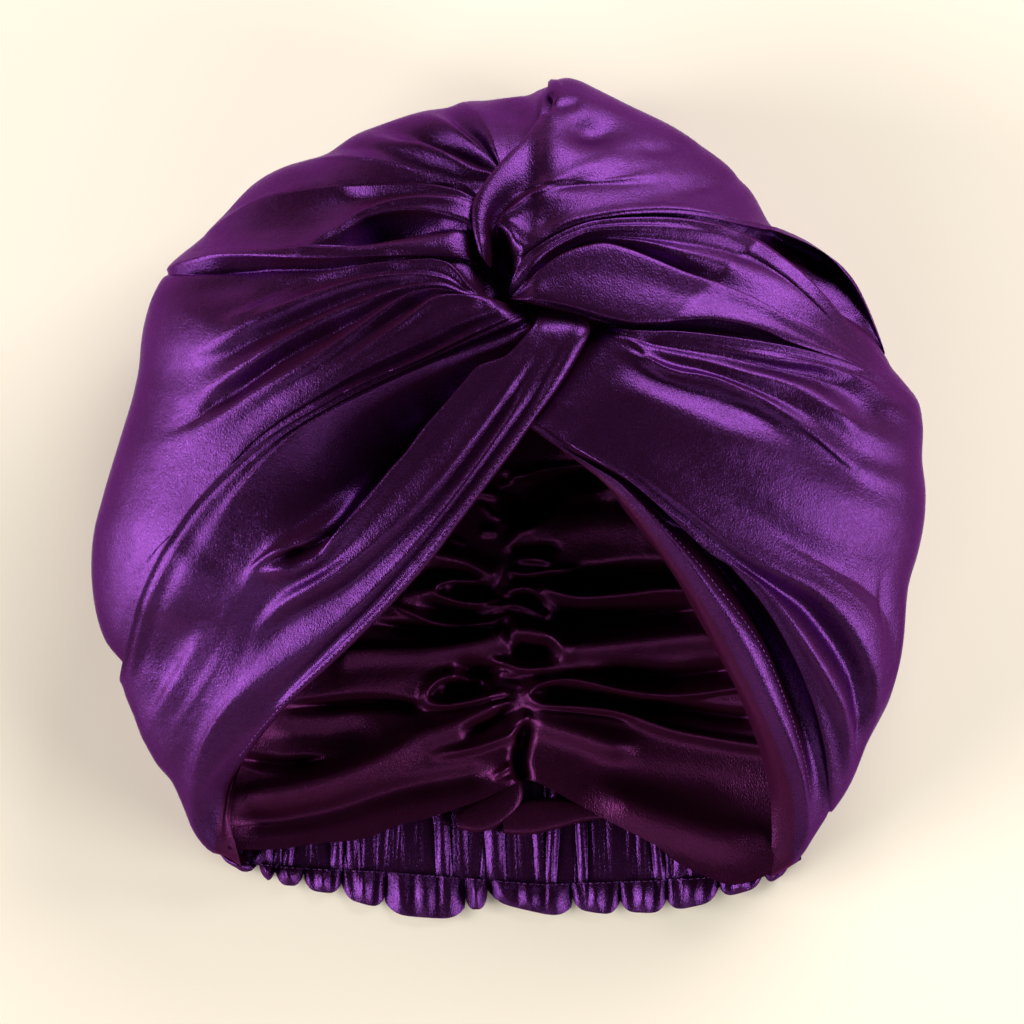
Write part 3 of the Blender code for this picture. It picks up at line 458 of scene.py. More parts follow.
        (-70, 29.8, 2.4), (-80, 23.6, 2.6), (-90, 16.2, 2.6), (-100, 7.6, 2.8), (-106, 1.2, 2.8),
        (-112, -6.4, 3), (-118, -15.4, 3), (-123, -24.6, 3), (-127, -33.6, 3), (-130, -42.6, 2.8),
        (-132.6, -52, 2.2), (-135.8, -62.5, 0.8),
    ]),
    Fold("edge back", None, 0, [
        (5.6, 65.8, -7.6), (3, 63.6, -3), (-3, 60.2, -1), (-10, 57.4, -0.6), (-20, 52.8, -0.4),
        (-30, 48, 0), (-42, 42.6, 0.4), (-54, 37.2, 0.4), (-66, 30.6, 0.8), (-79, 22.6, 1),
        (-90.4, 13.6, 1.2), (-100, 4.6, 1.4), (-108, -4, 1.6), (-115, -14, 1.8), (-121.6, -25.4, 2),
        (-127, -38, 2), (-131, -51, 1.4), (-135.2, -66, 0.4),
    ]),
    Fold("second line", None, 0, [
        (6.2, 65, -7.4), (4, 62.8, -1.8), (-2, 60.2, 0.6), (-9, 57.2, 1), (-18, 53, 1), (-28, 48.4, 1),
        (-40, 42.8, 1.2), (-54, 36.2, 1.2), (-66, 29.6, 1.4), (-79, 21.4, 1.6), (-90, 12.4, 1.6),
        (-100, 2.8, 1.6), (-108, -6.4, 1.8), (-115, -16.8, 2), (-121, -28, 2), (-126.6, -42, 1.8),
        (-134.4, -69, 0.3),
    ]),
    Fold("line hollow", None, 0, [
        (6.6, 64, -9), (4.6, 61, -6), (0, 58.6, -5), (-6, 56, -4), (-14, 52.8, -3), (-22, 49.6, -2),
        (-32, 45.6, -1), (-46, 39.6, -0.4), (-60, 32.8, 0), (-72, 25.8, 0.2), (-84, 15.8, 0.8),
        (-95, 4, 1), (-104, -6.6, 1), (-114, -22, 0.8), (-122, -38, 0.2), (-133.6, -72, 0),
    ]),
    Fold("band crease", "before", 2.4, [
        (8.4, 62.4, -7), (7, 60, -2), (3, 58, 0.4), (-2, 55.9, 1), (-8, 53.7, 1.4), (-15, 51.2, 1.8),
        (-22, 48.6, 2), (-32, 44.5, 2.2), (-40, 41, 2.4), (-50, 36.3, 2.6), (-60, 31.5, 2.6),
        (-67, 27.6, 2.6), (-73, 23.8, 2.4), (-78, 19.6, 2.2), (-84, 14, 2), (-90, 7.8, 1.5),
        (-95.4, 1, 1.2), (-100, -6.6, 1), (-106, -18, 0.9), (-112, -31, 0.6), (-119, -48, -0.6),
        (-132.4, -76, -0.4),
    ], 0.0, 0.66),
    Fold("short crease", None, 0, [
        (8.8, 61.6, -8), (7.6, 58.8, -3), (4, 56.2, -1.4), (-2, 53.4, -0.8), (-9, 50.8, -0.4),
        (-16, 47.8, -0.6), (-26, 43.4, -1.4), (-38, 37.6, -1.8), (-52, 29.4, -2), (-64, 20.6, -2),
        (-75, 10.6, -2), (-85, -1, -1.6), (-94, -14, -0.8), (-106, -38, 0.4), (-120, -62, -1),
        (-130.6, -81, -0.4),
    ]),
    Fold("hollow slope", None, 0, [
        (9.2, 61, -9), (7.8, 57.4, -6), (3.6, 53.8, -7), (-2, 50.8, -9), (-9, 47.8, -11),
        (-20, 40.6, -15), (-34, 30, -18), (-47, 17, -18), (-57, 5, -14), (-66, -4, -8), (-76, -12, -2.6),
        (-90, -22.4, -0.6), (-103.4, -42, 0.2), (-129.4, -84, -0.2),
    ]),
    Fold("soft ridge", None, 0, [
        (9.4, 61.2, -9.6), (7.8, 57, -7.4), (3.5, 53, -9), (-1.7, 49.9, -12), (-8.5, 46.8, -14.5),
        (-19.3, 38.4, -20), (-32.6, 26, -23), (-45.4, 12.4, -22), (-54, 0, -14), (-60, -7.6, -4.6),
        (-67, -12.6, 0.8), (-74, -15.2, 2), (-81, -17.6, 1.6), (-87, -21.6, 0.6), (-100.2, -42.6, 0),
        (-127.8, -87, -0.2),
    ]),
    Fold("strap hollow", None, 0, [
        (9.6, 61.4, -10), (7.8, 56.6, -9), (3.4, 52, -12), (-1.4, 49, -15), (-8, 46, -18),
        (-18.6, 36.4, -24), (-31, 23.4, -27), (-43, 9.4, -26), (-52.4, -3, -18), (-59.6, -11.6, -8),
        (-66, -16, -4.4), (-73, -18.4, -3), (-79, -20.4, -0.6), (-85.4, -23.2, 0.2), (-97, -43, -0.6),
        (-126, -90, 0),
    ]),
    Fold("strap edge", "before", 6, [
        (11.5, 66.5, -8), (9.6, 61.6, -2), (7.6, 58.6, -0.4), (4.6, 55.2, 0), (1.6, 51.8, 0.4),
        (-1, 49.6, 0.8), (-5, 48.2, 1), (-10, 46.4, 1.4), (-15, 41, 1.6), (-20, 35.2, 1.8),
        (-25, 29.6, 2), (-29, 25, 2), (-32.4, 20.4, 2), (-36, 15.6, 2), (-40, 11.4, 2), (-45, 5.2, 2),
        (-50, -0.8, 2), (-55, -6, 2), (-60, -11.8, 2.2), (-64, -16.6, 2.4), (-68, -19.6, 2.4),
        (-73, -21.3, 2.2), (-78, -22.9, 1.6), (-83.4, -26, 0.2), (-93.6, -44, -1.2), (-106.6, -65, -0.3),
        (-124.4, -92, 0.2),
    ], 0.0, 0.6),
    Fold("rim fall", None, 0, [
        (12.6, 66.8, -8), (10.8, 61.4, -1.6), (8, 57, 0.2), (3, 50.4, 0.8), (-3.6, 43.4, 1),
        (-12.6, 33.6, 1), (-24, 20, 1), (-36, 6, 1), (-47, -7, 1), (-56, -16.6, 0.6), (-62, -21.8, 0),
        (-69, -26.4, -1), (-78, -31.6, -1.6), (-89.4, -43, -1.8), (-102.4, -62, -0.5),
        (-122.4, -94.4, 0.4),
    ]),
    Fold("strap face", None, 0, [
        (14, 67, -8), (12.4, 61, -1), (9.4, 54.6, 1), (4.4, 46, 1.8), (-4, 32.6, 2), (-15, 18, 2.2),
        (-27, 3.6, 2.4), (-39, -8.6, 2.4), (-50, -17.6, 2.6), (-60, -25, 2.8), (-70, -31, 2),
        (-79, -37, 0), (-88, -47.4, -1.8), (-99.6, -65, 0.2), (-119.6, -98, 0.4),
    ]),
    Fold("strap valley", None, 0, [
        (16, 67.2, -8), (14.6, 60.8, -0.9), (11.6, 53, 1), (6.6, 44, 0.6), (-2, 29.6, -1),
        (-12, 15.6, -1.2), (-23, 1.4, -1.2), (-35, -12, -1.2), (-47, -24, -1.6), (-58, -32.6, -2.2),
        (-70, -39.4, -2.6), (-81, -47.4, -2.4), (-91, -58.6, 0), (-103, -75, 1.6), (-117, -101.6, 0.4),
    ]),
    Fold("strap slope", None, 0, [
        (19, 67.3, -8), (17.6, 60.8, -1), (14.6, 52.4, 0.7), (9.4, 43.4, 0.6), (1.6, 30, 1.4),
        (-8, 16, 1.4), (-20, -0.4, 1.4), (-32, -15, 1.4), (-45, -29, 1.4), (-58, -41.6, 1.6),
        (-72, -52.4, 2), (-87, -62.6, 2.4), (-100, -74.6, 2.8), (-107.6, -88, 2.6), (-111.6, -100, 1.6),
        (-114, -109.4, 0.3),
    ]),
    Fold("stitch valley", None, 0, [
        (22.4, 67, -8), (21.6, 60.6, -1.2), (19.4, 54.4, 0.2), (16, 47, 0), (11, 37.4, -0.4),
        (4, 27, -0.8), (-4, 16, -0.8), (-12, 5.2, -0.8), (-20, -5.2, -0.8), (-30, -18, -0.8),
        (-40, -30, -0.8), (-50, -40.6, -0.8), (-58, -48, -0.8), (-66, -56, -0.8), (-75, -64.4, -0.6),
        (-84, -72.8, 0), (-91, -80, 0.6), (-97.6, -87.4, 1), (-103, -94, 1.2), (-106.8, -100, 1.2),
        (-109.4, -106, 0.9), (-110.8, -111.6, 0.5), (-111.2, -117, 0),
    ]),
    Fold("hem ridge", None, 0, [
        (26.2, 64, -6), (26.3, 60, -1), (25.4, 57.2, 0.6), (23.2, 54, 1), (20.2, 48.6, 1.2),
        (17.6, 43.6, 1.2), (14.4, 38, 1.2), (10.4, 32.2, 1.2), (5.4, 25, 1.2), (0.4, 18, 1.2),
        (-4.6, 11.4, 1.2), (-9.6, 4.8, 1.2), (-14.6, -2, 1.2), (-19.6, -8.6, 1.2), (-25.4, -16.6, 1.2),
        (-31.4, -24, 1.2), (-37.4, -30.6, 1.2), (-42.4, -36, 1.2), (-50.4, -44, 1.2),
        (-60.4, -53.8, 1.2), (-70.4, -63, 1), (-80.2, -73, 0), (-86.4, -80.2, -1.6), (-93, -88.6, -3),
        (-98.6, -95.8, -3.8), (-102.8, -101.8, -4.2), (-106, -107.4, -3.8), (-107.8, -112.8, -2.8),
        (-108.6, -117.8, -1.8), (-108.2, -122.6, -0.8),
    ]),
    Fold("hem edge", None, 0, [
        (28.6, 63.6, -9), (28.8, 60, -3), (28.2, 57, -1.8), (26, 52.6, -1.6), (22.6, 46.6, -1.6),
        (19.4, 41.4, -1.6), (15.8, 36, -1.6), (11.8, 30.6, -1.6), (7, 24, -1.6), (2, 16.8, -1.6),
        (-3, 10.2, -1.6), (-8, 3.6, -1.6), (-13, -3.2, -1.6), (-18, -9.8, -1.6), (-23.8, -17.8, -1.6),
        (-29.8, -25.2, -1.6), (-36, -32, -1.6), (-41, -37.4, -1.6), (-49, -45.6, -1.6),
        (-59, -55.4, -1.6), (-69, -64.6, -1.6), (-79, -74.4, -2.6), (-84.6, -81.2, -4.4),
        (-90.8, -89.2, -6), (-96, -96.4, -7), (-100.2, -102.2, -7.4), (-103.6, -108, -7),
        (-105.6, -113.4, -5.6), (-106.2, -119, -4), (-104.8, -125.8, -1.2),
    ]),
    Fold("hem turned in", None, 0, [
        (26.4, 65.2, -12), (26, 61, -6), (25, 57, -4.8), (22.4, 52, -4.6), (18.8, 45.8, -4.6),
        (15, 39.6, -4.6), (10, 32.6, -4.6), (5, 26, -4.6), (-2, 17, -4.6), (-10, 6.6, -4.6),
        (-17.4, -2.8, -4.6), (-25.4, -13.4, -4.6), (-35.4, -26, -4.6), (-46, -37.6, -4.6),
        (-58, -49.6, -4.6), (-69, -60, -5), (-80, -71.4, -6.6), (-87, -81, -9), (-93.6, -90.8, -11),
        (-98.2, -98.8, -12), (-101.4, -106.4, -11.6), (-103.4, -113.4, -9.6), (-103.2, -120.6, -7),
        (-101, -128.2, -2.4),
    ]),
    Fold("facing end", None, 0, [
        (25, 65.6, -16), (22.6, 62.4, -12), (18, 56.4, -11), (12.8, 47.6, -11), (6.8, 38.6, -11),
        (0.8, 30.4, -11), (-6.4, 21, -11), (-14.4, 10.4, -11), (-21.6, 1.4, -11), (-29.6, -9, -11),
        (-39.4, -21.6, -11), (-50, -32.6, -11), (-61.4, -44, -11), (-72, -54.4, -11), (-82, -66, -11),
        (-89, -79, -11), (-94.6, -91, -11), (-98, -101, -10), (-100, -110, -9), (-99.6, -119, -6),
        (-95, -131.4, -2),
    ]),
]

RIGHT_FOLDS = [
    Fold("roll under", None, 0, [
        (-5.5, 86, -12), (-9, 92, -6), (-9.6, 100, -5), (-6.5, 107, -5), (1, 116.4, -4), (9.6, 127, -4),
        (15.4, 135.6, -4), (17.4, 146.6, -2),
    ]),
    Fold("roll edge", None, 0, [
        (-6.9, 82.6, -5), (-9.6, 85.2, -1.6), (-11.3, 90, -0.4), (-12.4, 96, 0.6), (-12.3, 101, 1),
        (-10.9, 105.2, 1.2), (-8.4, 108.8, 1.5), (-4, 114.2, 1.8), (0, 119, 1.8), (5, 124.2, 1.6),
        (9.6, 130, 1.4), (13, 135, 1.2), (14.4, 139, 0.8), (14.9, 144.6, 0),
    ]),
    Fold("roll top", None, 0, [
        (-6.5, 82.9, -7), (-8.8, 86, -0.6), (-9.9, 91, 0.9), (-10.4, 97, 2), (-10, 101.6, 2.5),
        (-8, 106.6, 2.8), (-4.6, 111.4, 2.9), (0.4, 117, 2.8), (5.8, 122.6, 2.4), (11, 128.6, 2),
        (15, 134.6, 1.4), (17.5, 140, 0.8), (19, 147.9, 0),
    ]),
    Fold("roll face", None, 0, [
        (-6.1, 84, -9), (-7.4, 87.6, -1.8), (-7.9, 92.6, -0.4), (-7.9, 98, 1), (-6.6, 102.4, 1.6),
        (-3.4, 107.6, 1.9), (1.5, 112.6, 1.6), (7.6, 118.6, 1.4), (13.6, 125.6, 1.2), (18.4, 133, 0.6),
        (22, 139.4, 0.2), (24.6, 147.3, 0),
    ]),
    Fold("roll valley", None, 0, [
        (-5.7, 86.5, -10), (-6.4, 92.5, -4), (-5.9, 98, -2.6), (-3, 102.6, -2.2), (2, 107, -1.6),
        (9, 112.6, -0.8), (18, 120.6, 0.4), (25.6, 130.6, 0.6), (32, 143.8, 0),
    ]),
    Fold("inner valley", None, 0, [
        (-5.8, 88.5, -10), (-5.5, 93.4, -4), (-4.4, 98, -3.2), (-1, 102, -2.6), (4, 105.8, -1.4),
        (14, 112.6, -0.4), (30, 121.6, 0), (48, 136, 0),
    ]),
    Fold("inner ridge", None, 0, [
        (-5.8, 91, -9), (-5, 94.2, -1), (-3, 96.8, 1.4), (-1, 98.5, 2), (3, 101.5, 2.4),
        (6.5, 104.3, 1.8), (13, 109, 0.6), (32, 117.6, 0.4), (58, 131, 0),
    ]),
    Fold("ridge fall", None, 0, [
        (-4.4, 93.4, -9), (-4, 95, -1.5), (-1.6, 96.9, 1), (1, 98.8, 1.2), (5, 101.6, 0.8),
        (11, 105.6, 0), (22, 109.8, -0.6), (40, 113.6, 0), (67, 125.4, 0),
    ]),
    Fold("loop top", None, 0, [
        (-3, 92.8, -9), (-2.6, 94.6, -1.2), (-0.6, 96, 0.4), (3, 97.8, 0), (9, 101.4, -0.8),
        (18, 105.8, -0.4), (34, 109.6, 0.4), (76, 118, 0),
    ]),
    Fold("loop side", None, 0, [
        (-1.4, 91, -9), (-0.4, 92.8, -1.6), (2, 94.6, 0), (6, 97, -0.4), (14, 100.6, -0.4),
        (30, 104.6, 0.6), (60, 107, 0.6), (82.4, 112, 0),
    ]),
    Fold("loop foot", None, 0, [
        (0, 88.5, -9), (1.4, 89.6, -1.8), (4, 91.6, -0.2), (9, 94.6, 0), (18, 98, 0.6), (34, 101.6, 1.2),
        (60, 103.4, 1.4), (87, 105.4, 0),
    ]),
    Fold("outer fold 1", None, 0, [
        (1.6, 85.5, -9), (3.6, 86.8, -1.8), (7.6, 89.6, 0), (14, 93.6, 0.8), (22, 96.8, 1.6),
        (31, 98.8, 2), (45, 100.5, 2.4), (60, 100.6, 2.8), (75, 98.4, 2.6), (85, 96.8, 1.6),
        (93, 95.6, 0),
    ]),
    Fold("outer fold 3", None, 0, [
        (1.5, 84.6, -9), (3.8, 85.7, -2), (8, 88.3, -0.2), (14.4, 92.4, 0.6), (22.4, 95.7, 1.2),
        (31, 97.7, 1.6), (45, 99.4, 2), (60, 99.4, 2.4), (75, 97, 2.6), (86, 94.8, 2.4), (95, 92.8, 2),
        (103.4, 89.8, 1.4), (110.6, 86.2, 0.6), (118, 81.3, 0),
    ]),
    Fold("fold foot", "after", 3.6, [
        (1.4, 84, -9), (4, 85, -2.6), (8.4, 87.5, -1), (15.2, 91.6, -0.4), (23.2, 94.9, 0.2),
        (31, 97, 0.6), (45, 98.7, 1), (60, 98.7, 1.4), (75, 96.3, 1.6), (86, 94, 1.8), (95, 91.8, 1.6),
        (103.2, 88.8, 1.4), (110.6, 84.8, 1.4), (116.8, 79.8, 1.4), (121.2, 74.2, 1.2),
        (124.6, 67.6, 0.9), (127.6, 60.6, 0.5), (132.3, 51.4, 0),
    ], 0.3, 0.98),
    Fold("outer hollow", None, 0, [
        (1, 79, -9), (4.1, 82.5, -4), (9, 86.6, -3), (16, 90.9, -3), (24, 94.1, -3), (32, 96.4, -3.2),
        (45, 98.1, -3.6), (60, 97.8, -4), (75, 94.6, -6), (85, 90.8, -9), (94, 86.8, -12),
        (102, 82.8, -14), (110, 78, -14), (116, 73.4, -12), (121, 68.4, -8), (126, 61.4, -3),
        (132.8, 50.4, -0.2),
    ]),
    Fold("hollow lip", None, 0, [
        (0.8, 77, -9), (4, 81.6, -4), (9, 85.9, -3), (16, 90.4, -3), (24, 93.7, -3), (32, 96, -3.2),
        (45, 97.6, -3.4), (60, 97.2, -3.6), (74, 94.4, -4), (85, 90, -6.4), (94, 84.8, -8.4),
        (102, 79.6, -9), (107, 76.2, -8.4), (113, 72, -6.8), (119, 66.6, -4), (124, 61.6, -1.8),
        (128.4, 56.4, -0.6), (133.4, 49.2, 0),
    ]),
    Fold("lip line", None, 0, [
        (0.6, 76, -9), (3.8, 81.2, -4), (8.8, 85.6, -3), (15.6, 90, -3), (23.4, 93.4, -2.8),
        (31.4, 95.7, -3), (45, 97.3, -3), (60, 96.9, -3), (74, 94, -3.2), (85, 89.4, -4.2),
        (94, 84, -4.8), (102, 78, -4.8), (107, 74, -4), (113, 69.2, -2.6), (119, 63.8, -1.2),
        (124, 59.2, -0.4), (129, 54, 0), (133.9, 48.2, 0),
    ]),
    Fold("lip band", None, 0, [
        (0.4, 75.6, -9), (3.4, 80.9, -4), (8.4, 85.3, -3), (15, 89.7, -2.6), (22.8, 93.2, -2.4),
        (30.8, 95.5, -2.6), (45, 97.1, -2.6), (60, 96.7, -2.4), (73, 94, -2.4), (84, 89.2, -2.4),
        (93, 83.6, -2.6), (101, 77.2, -2.4), (107.4, 71.8, -1.6), (113.4, 66.4, -0.8), (119.4, 60.8, 0),
        (124.6, 56.6, 0.6), (129.6, 51.2, 0.2), (134.3, 47.2, 0),
    ]),
    Fold("lobe 1 rim", "before", 2.6, [
        (0, 73, -7), (2, 78.2, -2), (5.6, 83.6, 0.4), (10, 87.1, 1.4), (16, 90.9, 2), (22, 93.5, 2.4),
        (27, 95.1, 2.6), (34, 96.2, 2.6), (45, 96.9, 2.6), (55, 96.9, 2.6), (65, 96.1, 2.6),
        (72, 94.8, 2.6), (80, 92.2, 2.5), (88, 88, 2.4), (95, 83.3, 2.2), (100, 79.7, 2),
        (105, 75.3, 1.8), (110, 70.3, 1.5), (115, 64.9, 1.2), (120, 59.3, 0.9), (125, 54, 0.6),
        (130, 49.8, 0.3), (134.8, 46.4, 0),
    ], 0.1),
    Fold("rim groove", None, 0, [
        (0.3, 72.8, -7), (2.6, 77.5, -2.2), (7, 82.9, 0.2), (11.4, 86.3, 0.6), (18, 90.1, 1),
        (24, 92.6, 1.2), (30, 94.4, 1.2), (38, 95.2, 1.2), (48, 95.6, 1.2), (58, 95.3, 1.4),
        (68, 93.9, 1.6), (77, 91.9, 1.6), (85, 87.8, 1.5), (93, 82.8, 1.4), (100, 77.8, 1.2),
        (108, 70.4, 0.9), (116, 62, 0.7), (124, 53.6, 0.4), (135.5, 45.6, 0),
    ]),
    Fold("lobe 1 line 2", None, 0, [
        (0.6, 72.6, -7), (3.2, 77.1, -2), (8, 82, 1), (13, 85.9, 1.6), (20, 89.9, 2), (27, 92.9, 2.2),
        (35, 93.8, 2.2), (45, 94, 2.2), (55, 93.7, 1.8), (65, 92.7, 1.3), (74, 90.9, 0.9),
        (82, 87.4, 0.7), (91, 81.8, 0.6), (99, 75.4, 0.6), (107, 68, 0.6), (115, 60.2, 0.5),
        (123, 52.6, 0.3), (136.3, 44.7, 0),
    ]),
    Fold("lobe 1 under", None, 0, [
        (1, 72.4, -7), (4, 76.4, -2.4), (9, 81, -0.4), (14, 84.9, -0.6), (21, 88.7, -1),
        (28, 91.4, -1.6), (36, 92.2, -2), (46, 91.9, -2), (56, 91, -2), (66, 89.6, -1.8),
        (76, 87.6, -1.4), (86, 84, -0.8), (96, 77.6, 0), (108, 67, 0.3), (122, 52.6, 0.2),
        (137, 43.9, 0),
    ]),
    Fold("lobe 1 soft", None, 0, [
        (1.2, 72.2, -7), (4.6, 76, -3), (10, 80.6, -2.4), (15, 84, -3), (22, 88, -3.6), (29, 90.8, -3.6),
        (37, 91, -2), (46, 89.8, -0.6), (56, 87.2, -0.1), (66, 84.5, 0.2), (76, 82.2, 0.4),
        (86, 79.4, 0.4), (98, 73.4, 0.4), (110, 63.6, 0.4), (123, 51, 0.2), (138, 42.6, 0),
    ]),
    Fold("lobe 1 hollow", None, 0, [
        (1.4, 72, -7), (5, 75.6, -3.4), (10.4, 80.2, -4), (14.6, 83.4, -7), (18, 85.6, -8.4),
        (22.6, 88.2, -9), (28, 90, -10), (34, 90.3, -11), (42, 88.5, -11), (50, 85.9, -10),
        (58, 82.5, -8), (66, 79.2, -5.6), (74, 76, -3.4), (84, 72.6, -1.4), (98, 67, -0.2),
        (112, 58, 0.2), (124, 49.4, 0.1), (139, 41.3, 0),
    ]),
    Fold("lobe 2 crest", "before", 3, [
        (1.8, 71.8, -6.5), (6, 75, -1.6), (10.6, 79, 0), (14.6, 82.4, 0.8), (20, 85.4, 1.6),
        (26, 87.2, 2.2), (32.6, 88.2, 2.5), (40, 86.6, 2.5), (50, 82.8, 2.4), (60, 78.8, 2.2),
        (68, 76.2, 2), (75, 73.7, 1.8), (85, 69.6, 1.6), (92, 65.9, 1.4), (100, 61.8, 1.1),
        (112, 55.4, 0.7), (124, 48, 0.3), (140, 39.8, 0),
    ], 0.1),
    Fold("lobe 2 body", None, 0, [
        (2, 71.4, -6), (8, 73.8, 0), (14, 76, 1), (22, 77.6, 1.6), (34, 77.6, 1.8), (48, 74.6, 1.8),
        (62, 71, 1.6), (76, 67.6, 1.4), (90, 62.4, 1.2), (104, 56, 0.8), (122, 48.2, 0.3),
        (141, 38.8, 0),
    ]),
    Fold("lobe 2 lower", None, 0, [
        (1.4, 71, -5.5), (8, 71.2, 0.6), (16, 71.2, 1.4), (26, 70.4, 2), (38, 68, 2.2), (50, 66.4, 2.2),
        (64, 65.8, 2), (78, 64, 1.8), (92, 59.2, 1.6), (108, 52.8, 1), (124, 46.8, 0.4), (142, 37.4, 0),
    ]),
    Fold("lobe 2 edge", "after", 4, [
        (0, 70.5, -4.5), (5, 69.3, -0.4), (12, 68.5, 0.6), (20, 66.9, 1.2), (28, 64.6, 1.5),
        (36, 62.3, 1.6), (43, 61, 1.6), (50, 60.9, 1.6), (60, 61.5, 1.6), (70, 62, 1.6), (78, 61.1, 1.5),
        (84, 59.9, 1.4), (90, 58, 1.2), (96, 55.2, 1), (104, 52.6, 0.8), (114, 49.6, 0.5),
        (126, 45.2, 0.3), (142.8, 36.4, 0),
    ], 0.05),
    Fold("under lobe 2", None, 0, [
        (33, 62.8, -10), (38, 61, -6), (44, 59.9, -4.6), (50, 59.4, -4), (60, 59.5, -4), (70, 59.7, -4),
        (80, 58.4, -3.6), (86, 57, -3), (92, 55.2, -2), (98, 53.4, -0.8), (108, 51, -0.2),
        (128, 44.5, 0), (143.4, 35.6, 0),
    ]),
    Fold("flap rim", "before", 2, [
        (33.6, 62.4, -10), (38.4, 60.3, -4), (42, 59, -0.8), (48, 58.4, 0.3), (56, 58.2, 0.8),
        (66, 57.4, 1), (76, 56.2, 1.1), (86, 54.9, 1.2), (96, 53.3, 1.3), (106, 51.2, 1.3),
        (114, 49.1, 1.2), (121, 46.7, 1), (128, 43.9, 0.7), (135, 40.8, 0.4), (140, 38, 0.2),
        (144, 34.4, 0),
    ], 0.05),
    Fold("flap rim groove", None, 0, [
        (33, 62, -10), (37.8, 59.8, -4), (42, 58.2, -1), (48, 57.2, -0.6), (56, 56.8, -0.4),
        (66, 55.9, -0.4), (78, 54.2, -0.5), (90, 52.2, -0.5), (102, 49.6, -0.4), (114, 46.4, -0.2),
        (126, 42.4, 0), (145, 31, 0),
    ]),
    Fold("flap rim swell", None, 0, [
        (32.6, 61.6, -10), (37.4, 59.3, -4), (42, 57.4, -1), (48, 56, -1), (56, 55, -1),
        (68, 53.6, -0.8), (82, 51, -0.4), (95, 48.9, 0.6), (105, 47.6, 1), (115, 45.2, 1.2),
        (125, 41, 1), (135, 34.6, 0.4), (145.5, 26.6, 0),
    ]),
    Fold("flap valley 1", None, 0, [
        (32, 61, -9.6), (36.9, 58.7, -4), (42, 56.6, -1.4), (49, 54.6, -1.6), (60, 52.6, -2),
        (74, 50.4, -2.2), (85, 47.8, -2.4), (96, 45.2, -2.6), (108, 43, -2.4), (116, 39.8, -2),
        (125, 33, -1.2), (145.6, 21, 0),
    ]),
    Fold("flap ridge 1", None, 0, [
        (31, 60, -9.4), (36, 57.8, -3.6), (41.6, 55.4, -1), (49, 52.8, -0.8), (59, 50.4, -0.6),
        (71, 47.6, -0.4), (82, 44.2, 0.6), (95, 41, 1.2), (105, 37, 1.4), (113, 31.6, 1.2),
        (122, 25, 0.8), (145.5, 15, 0),
    ]),
    Fold("flap dip", None, 0, [
        (29.6, 58.4, -9), (35, 56.4, -3.4), (41, 53.8, -1), (47, 50.8, -0.8), (55, 47.6, -1),
        (66, 45.2, -1.2), (78, 41.8, -1), (92, 36.4, -0.8), (108, 28, -0.6), (124, 17, -0.2),
        (146, 8, 0),
    ]),
    Fold("flap ridge 2", None, 0, [
        (27.6, 56, -9), (33.8, 54.8, -3.2), (39.6, 52.4, -1), (44.6, 50, 0), (50, 47.4, 1),
        (55, 45, 1.6), (60, 43.7, 1.9), (66, 43, 2), (72, 41.6, 2), (80, 38.2, 1.8), (88, 34.4, 1.6),
        (100, 27, 1), (120, 12, 0.4), (146.5, 3, 0),
    ]),
    Fold("flap valley 2", None, 0, [
        (25, 52.4, -9), (32, 52.2, -3), (38.4, 49.4, -1), (45, 45.6, -1.2), (51, 42.6, -1.6),
        (57, 40.6, -2), (63, 38.5, -2.2), (70, 37, -2.2), (78, 34.3, -2.2), (86, 30.6, -2),
        (96, 25.4, -1.6), (106, 20.6, -1), (124, 6, -0.4), (146.4, -3, 0),
    ]),
    Fold("flap body", None, 0, [
        (19, 44.4, -9), (26.6, 46, -2.6), (34, 42.4, -0.4), (44, 37.6, 0.6), (56, 32.4, 1.2),
        (70, 26.6, 1.4), (88, 17.6, 1.2), (112, 3, 0.6), (145.6, -10.6, 0),
    ]),
    Fold("flap middle", None, 0, [
        (14.4, 39, -9), (21.6, 40.4, -2.4), (32, 34.8, 0.2), (44, 28.6, 1), (58, 21.4, 1.4),
        (76, 11, 1.4), (98, -3, 0.8), (120, -16, 0.2), (143.6, -20, 0),
    ]),
    Fold("flap fall", None, 0, [
        (11, 35.4, -9), (17.6, 36, -2.2), (31, 28.6, 0.4), (48, 18.8, 0.8), (66, 7.6, 0.2),
        (84, -3.6, -0.4), (100, -15, -0.6), (116, -24, -0.4), (128, -29, -0.8), (140.6, -31, 0),
    ]),
    Fold("limb hollow", None, 0, [
        (9.6, 33.8, -9), (15.6, 34, -2), (29, 26.4, 0.4), (46, 16.4, 0.8), (63, 5, 0.4), (81, -7.6, 0.2),
        (97, -17.6, 0.4), (112, -25.6, 0.8), (124, -32.6, 0.2), (132.6, -40, -1.2), (136.6, -49, -1.4),
        (138.6, -54, 0),
    ]),
    Fold("limb ridge", None, 0, [
        (8.6, 32.6, -9), (14.4, 32.4, -2), (28, 24.6, 0.4), (44, 14.6, 0.6), (60, 2.8, 0.6),
        (78, -10.6, 0.8), (95, -20.4, 1.2), (110, -27.4, 1.6), (121, -35, 1.8), (128, -44, 1.8),
        (131, -55, 1.6), (131.4, -65, 1.2), (133.4, -72.4, 0),
    ]),
    Fold("side ridge 1", None, 0, [
        (7, 30.8, -8), (12, 29.8, -1.8), (26, 21.6, 0.4), (45, 9.6, 0.4), (62, -3, 1), (80, -16.6, 1.8),
        (95, -25, 2.6), (106, -31, 3), (112, -36.4, 3), (118.6, -44.4, 3), (123.6, -52.4, 2.8),
        (127, -60, 2.4), (128.8, -68, 1.8), (128.6, -76, 1), (128.4, -81.6, 0),
    ]),
    Fold("side valley 1", None, 0, [
        (6.2, 29.8, -8), (10.6, 28.2, -1.6), (24, 19.8, 0.4), (44, 7.6, 0), (62, -6.2, -0.2),
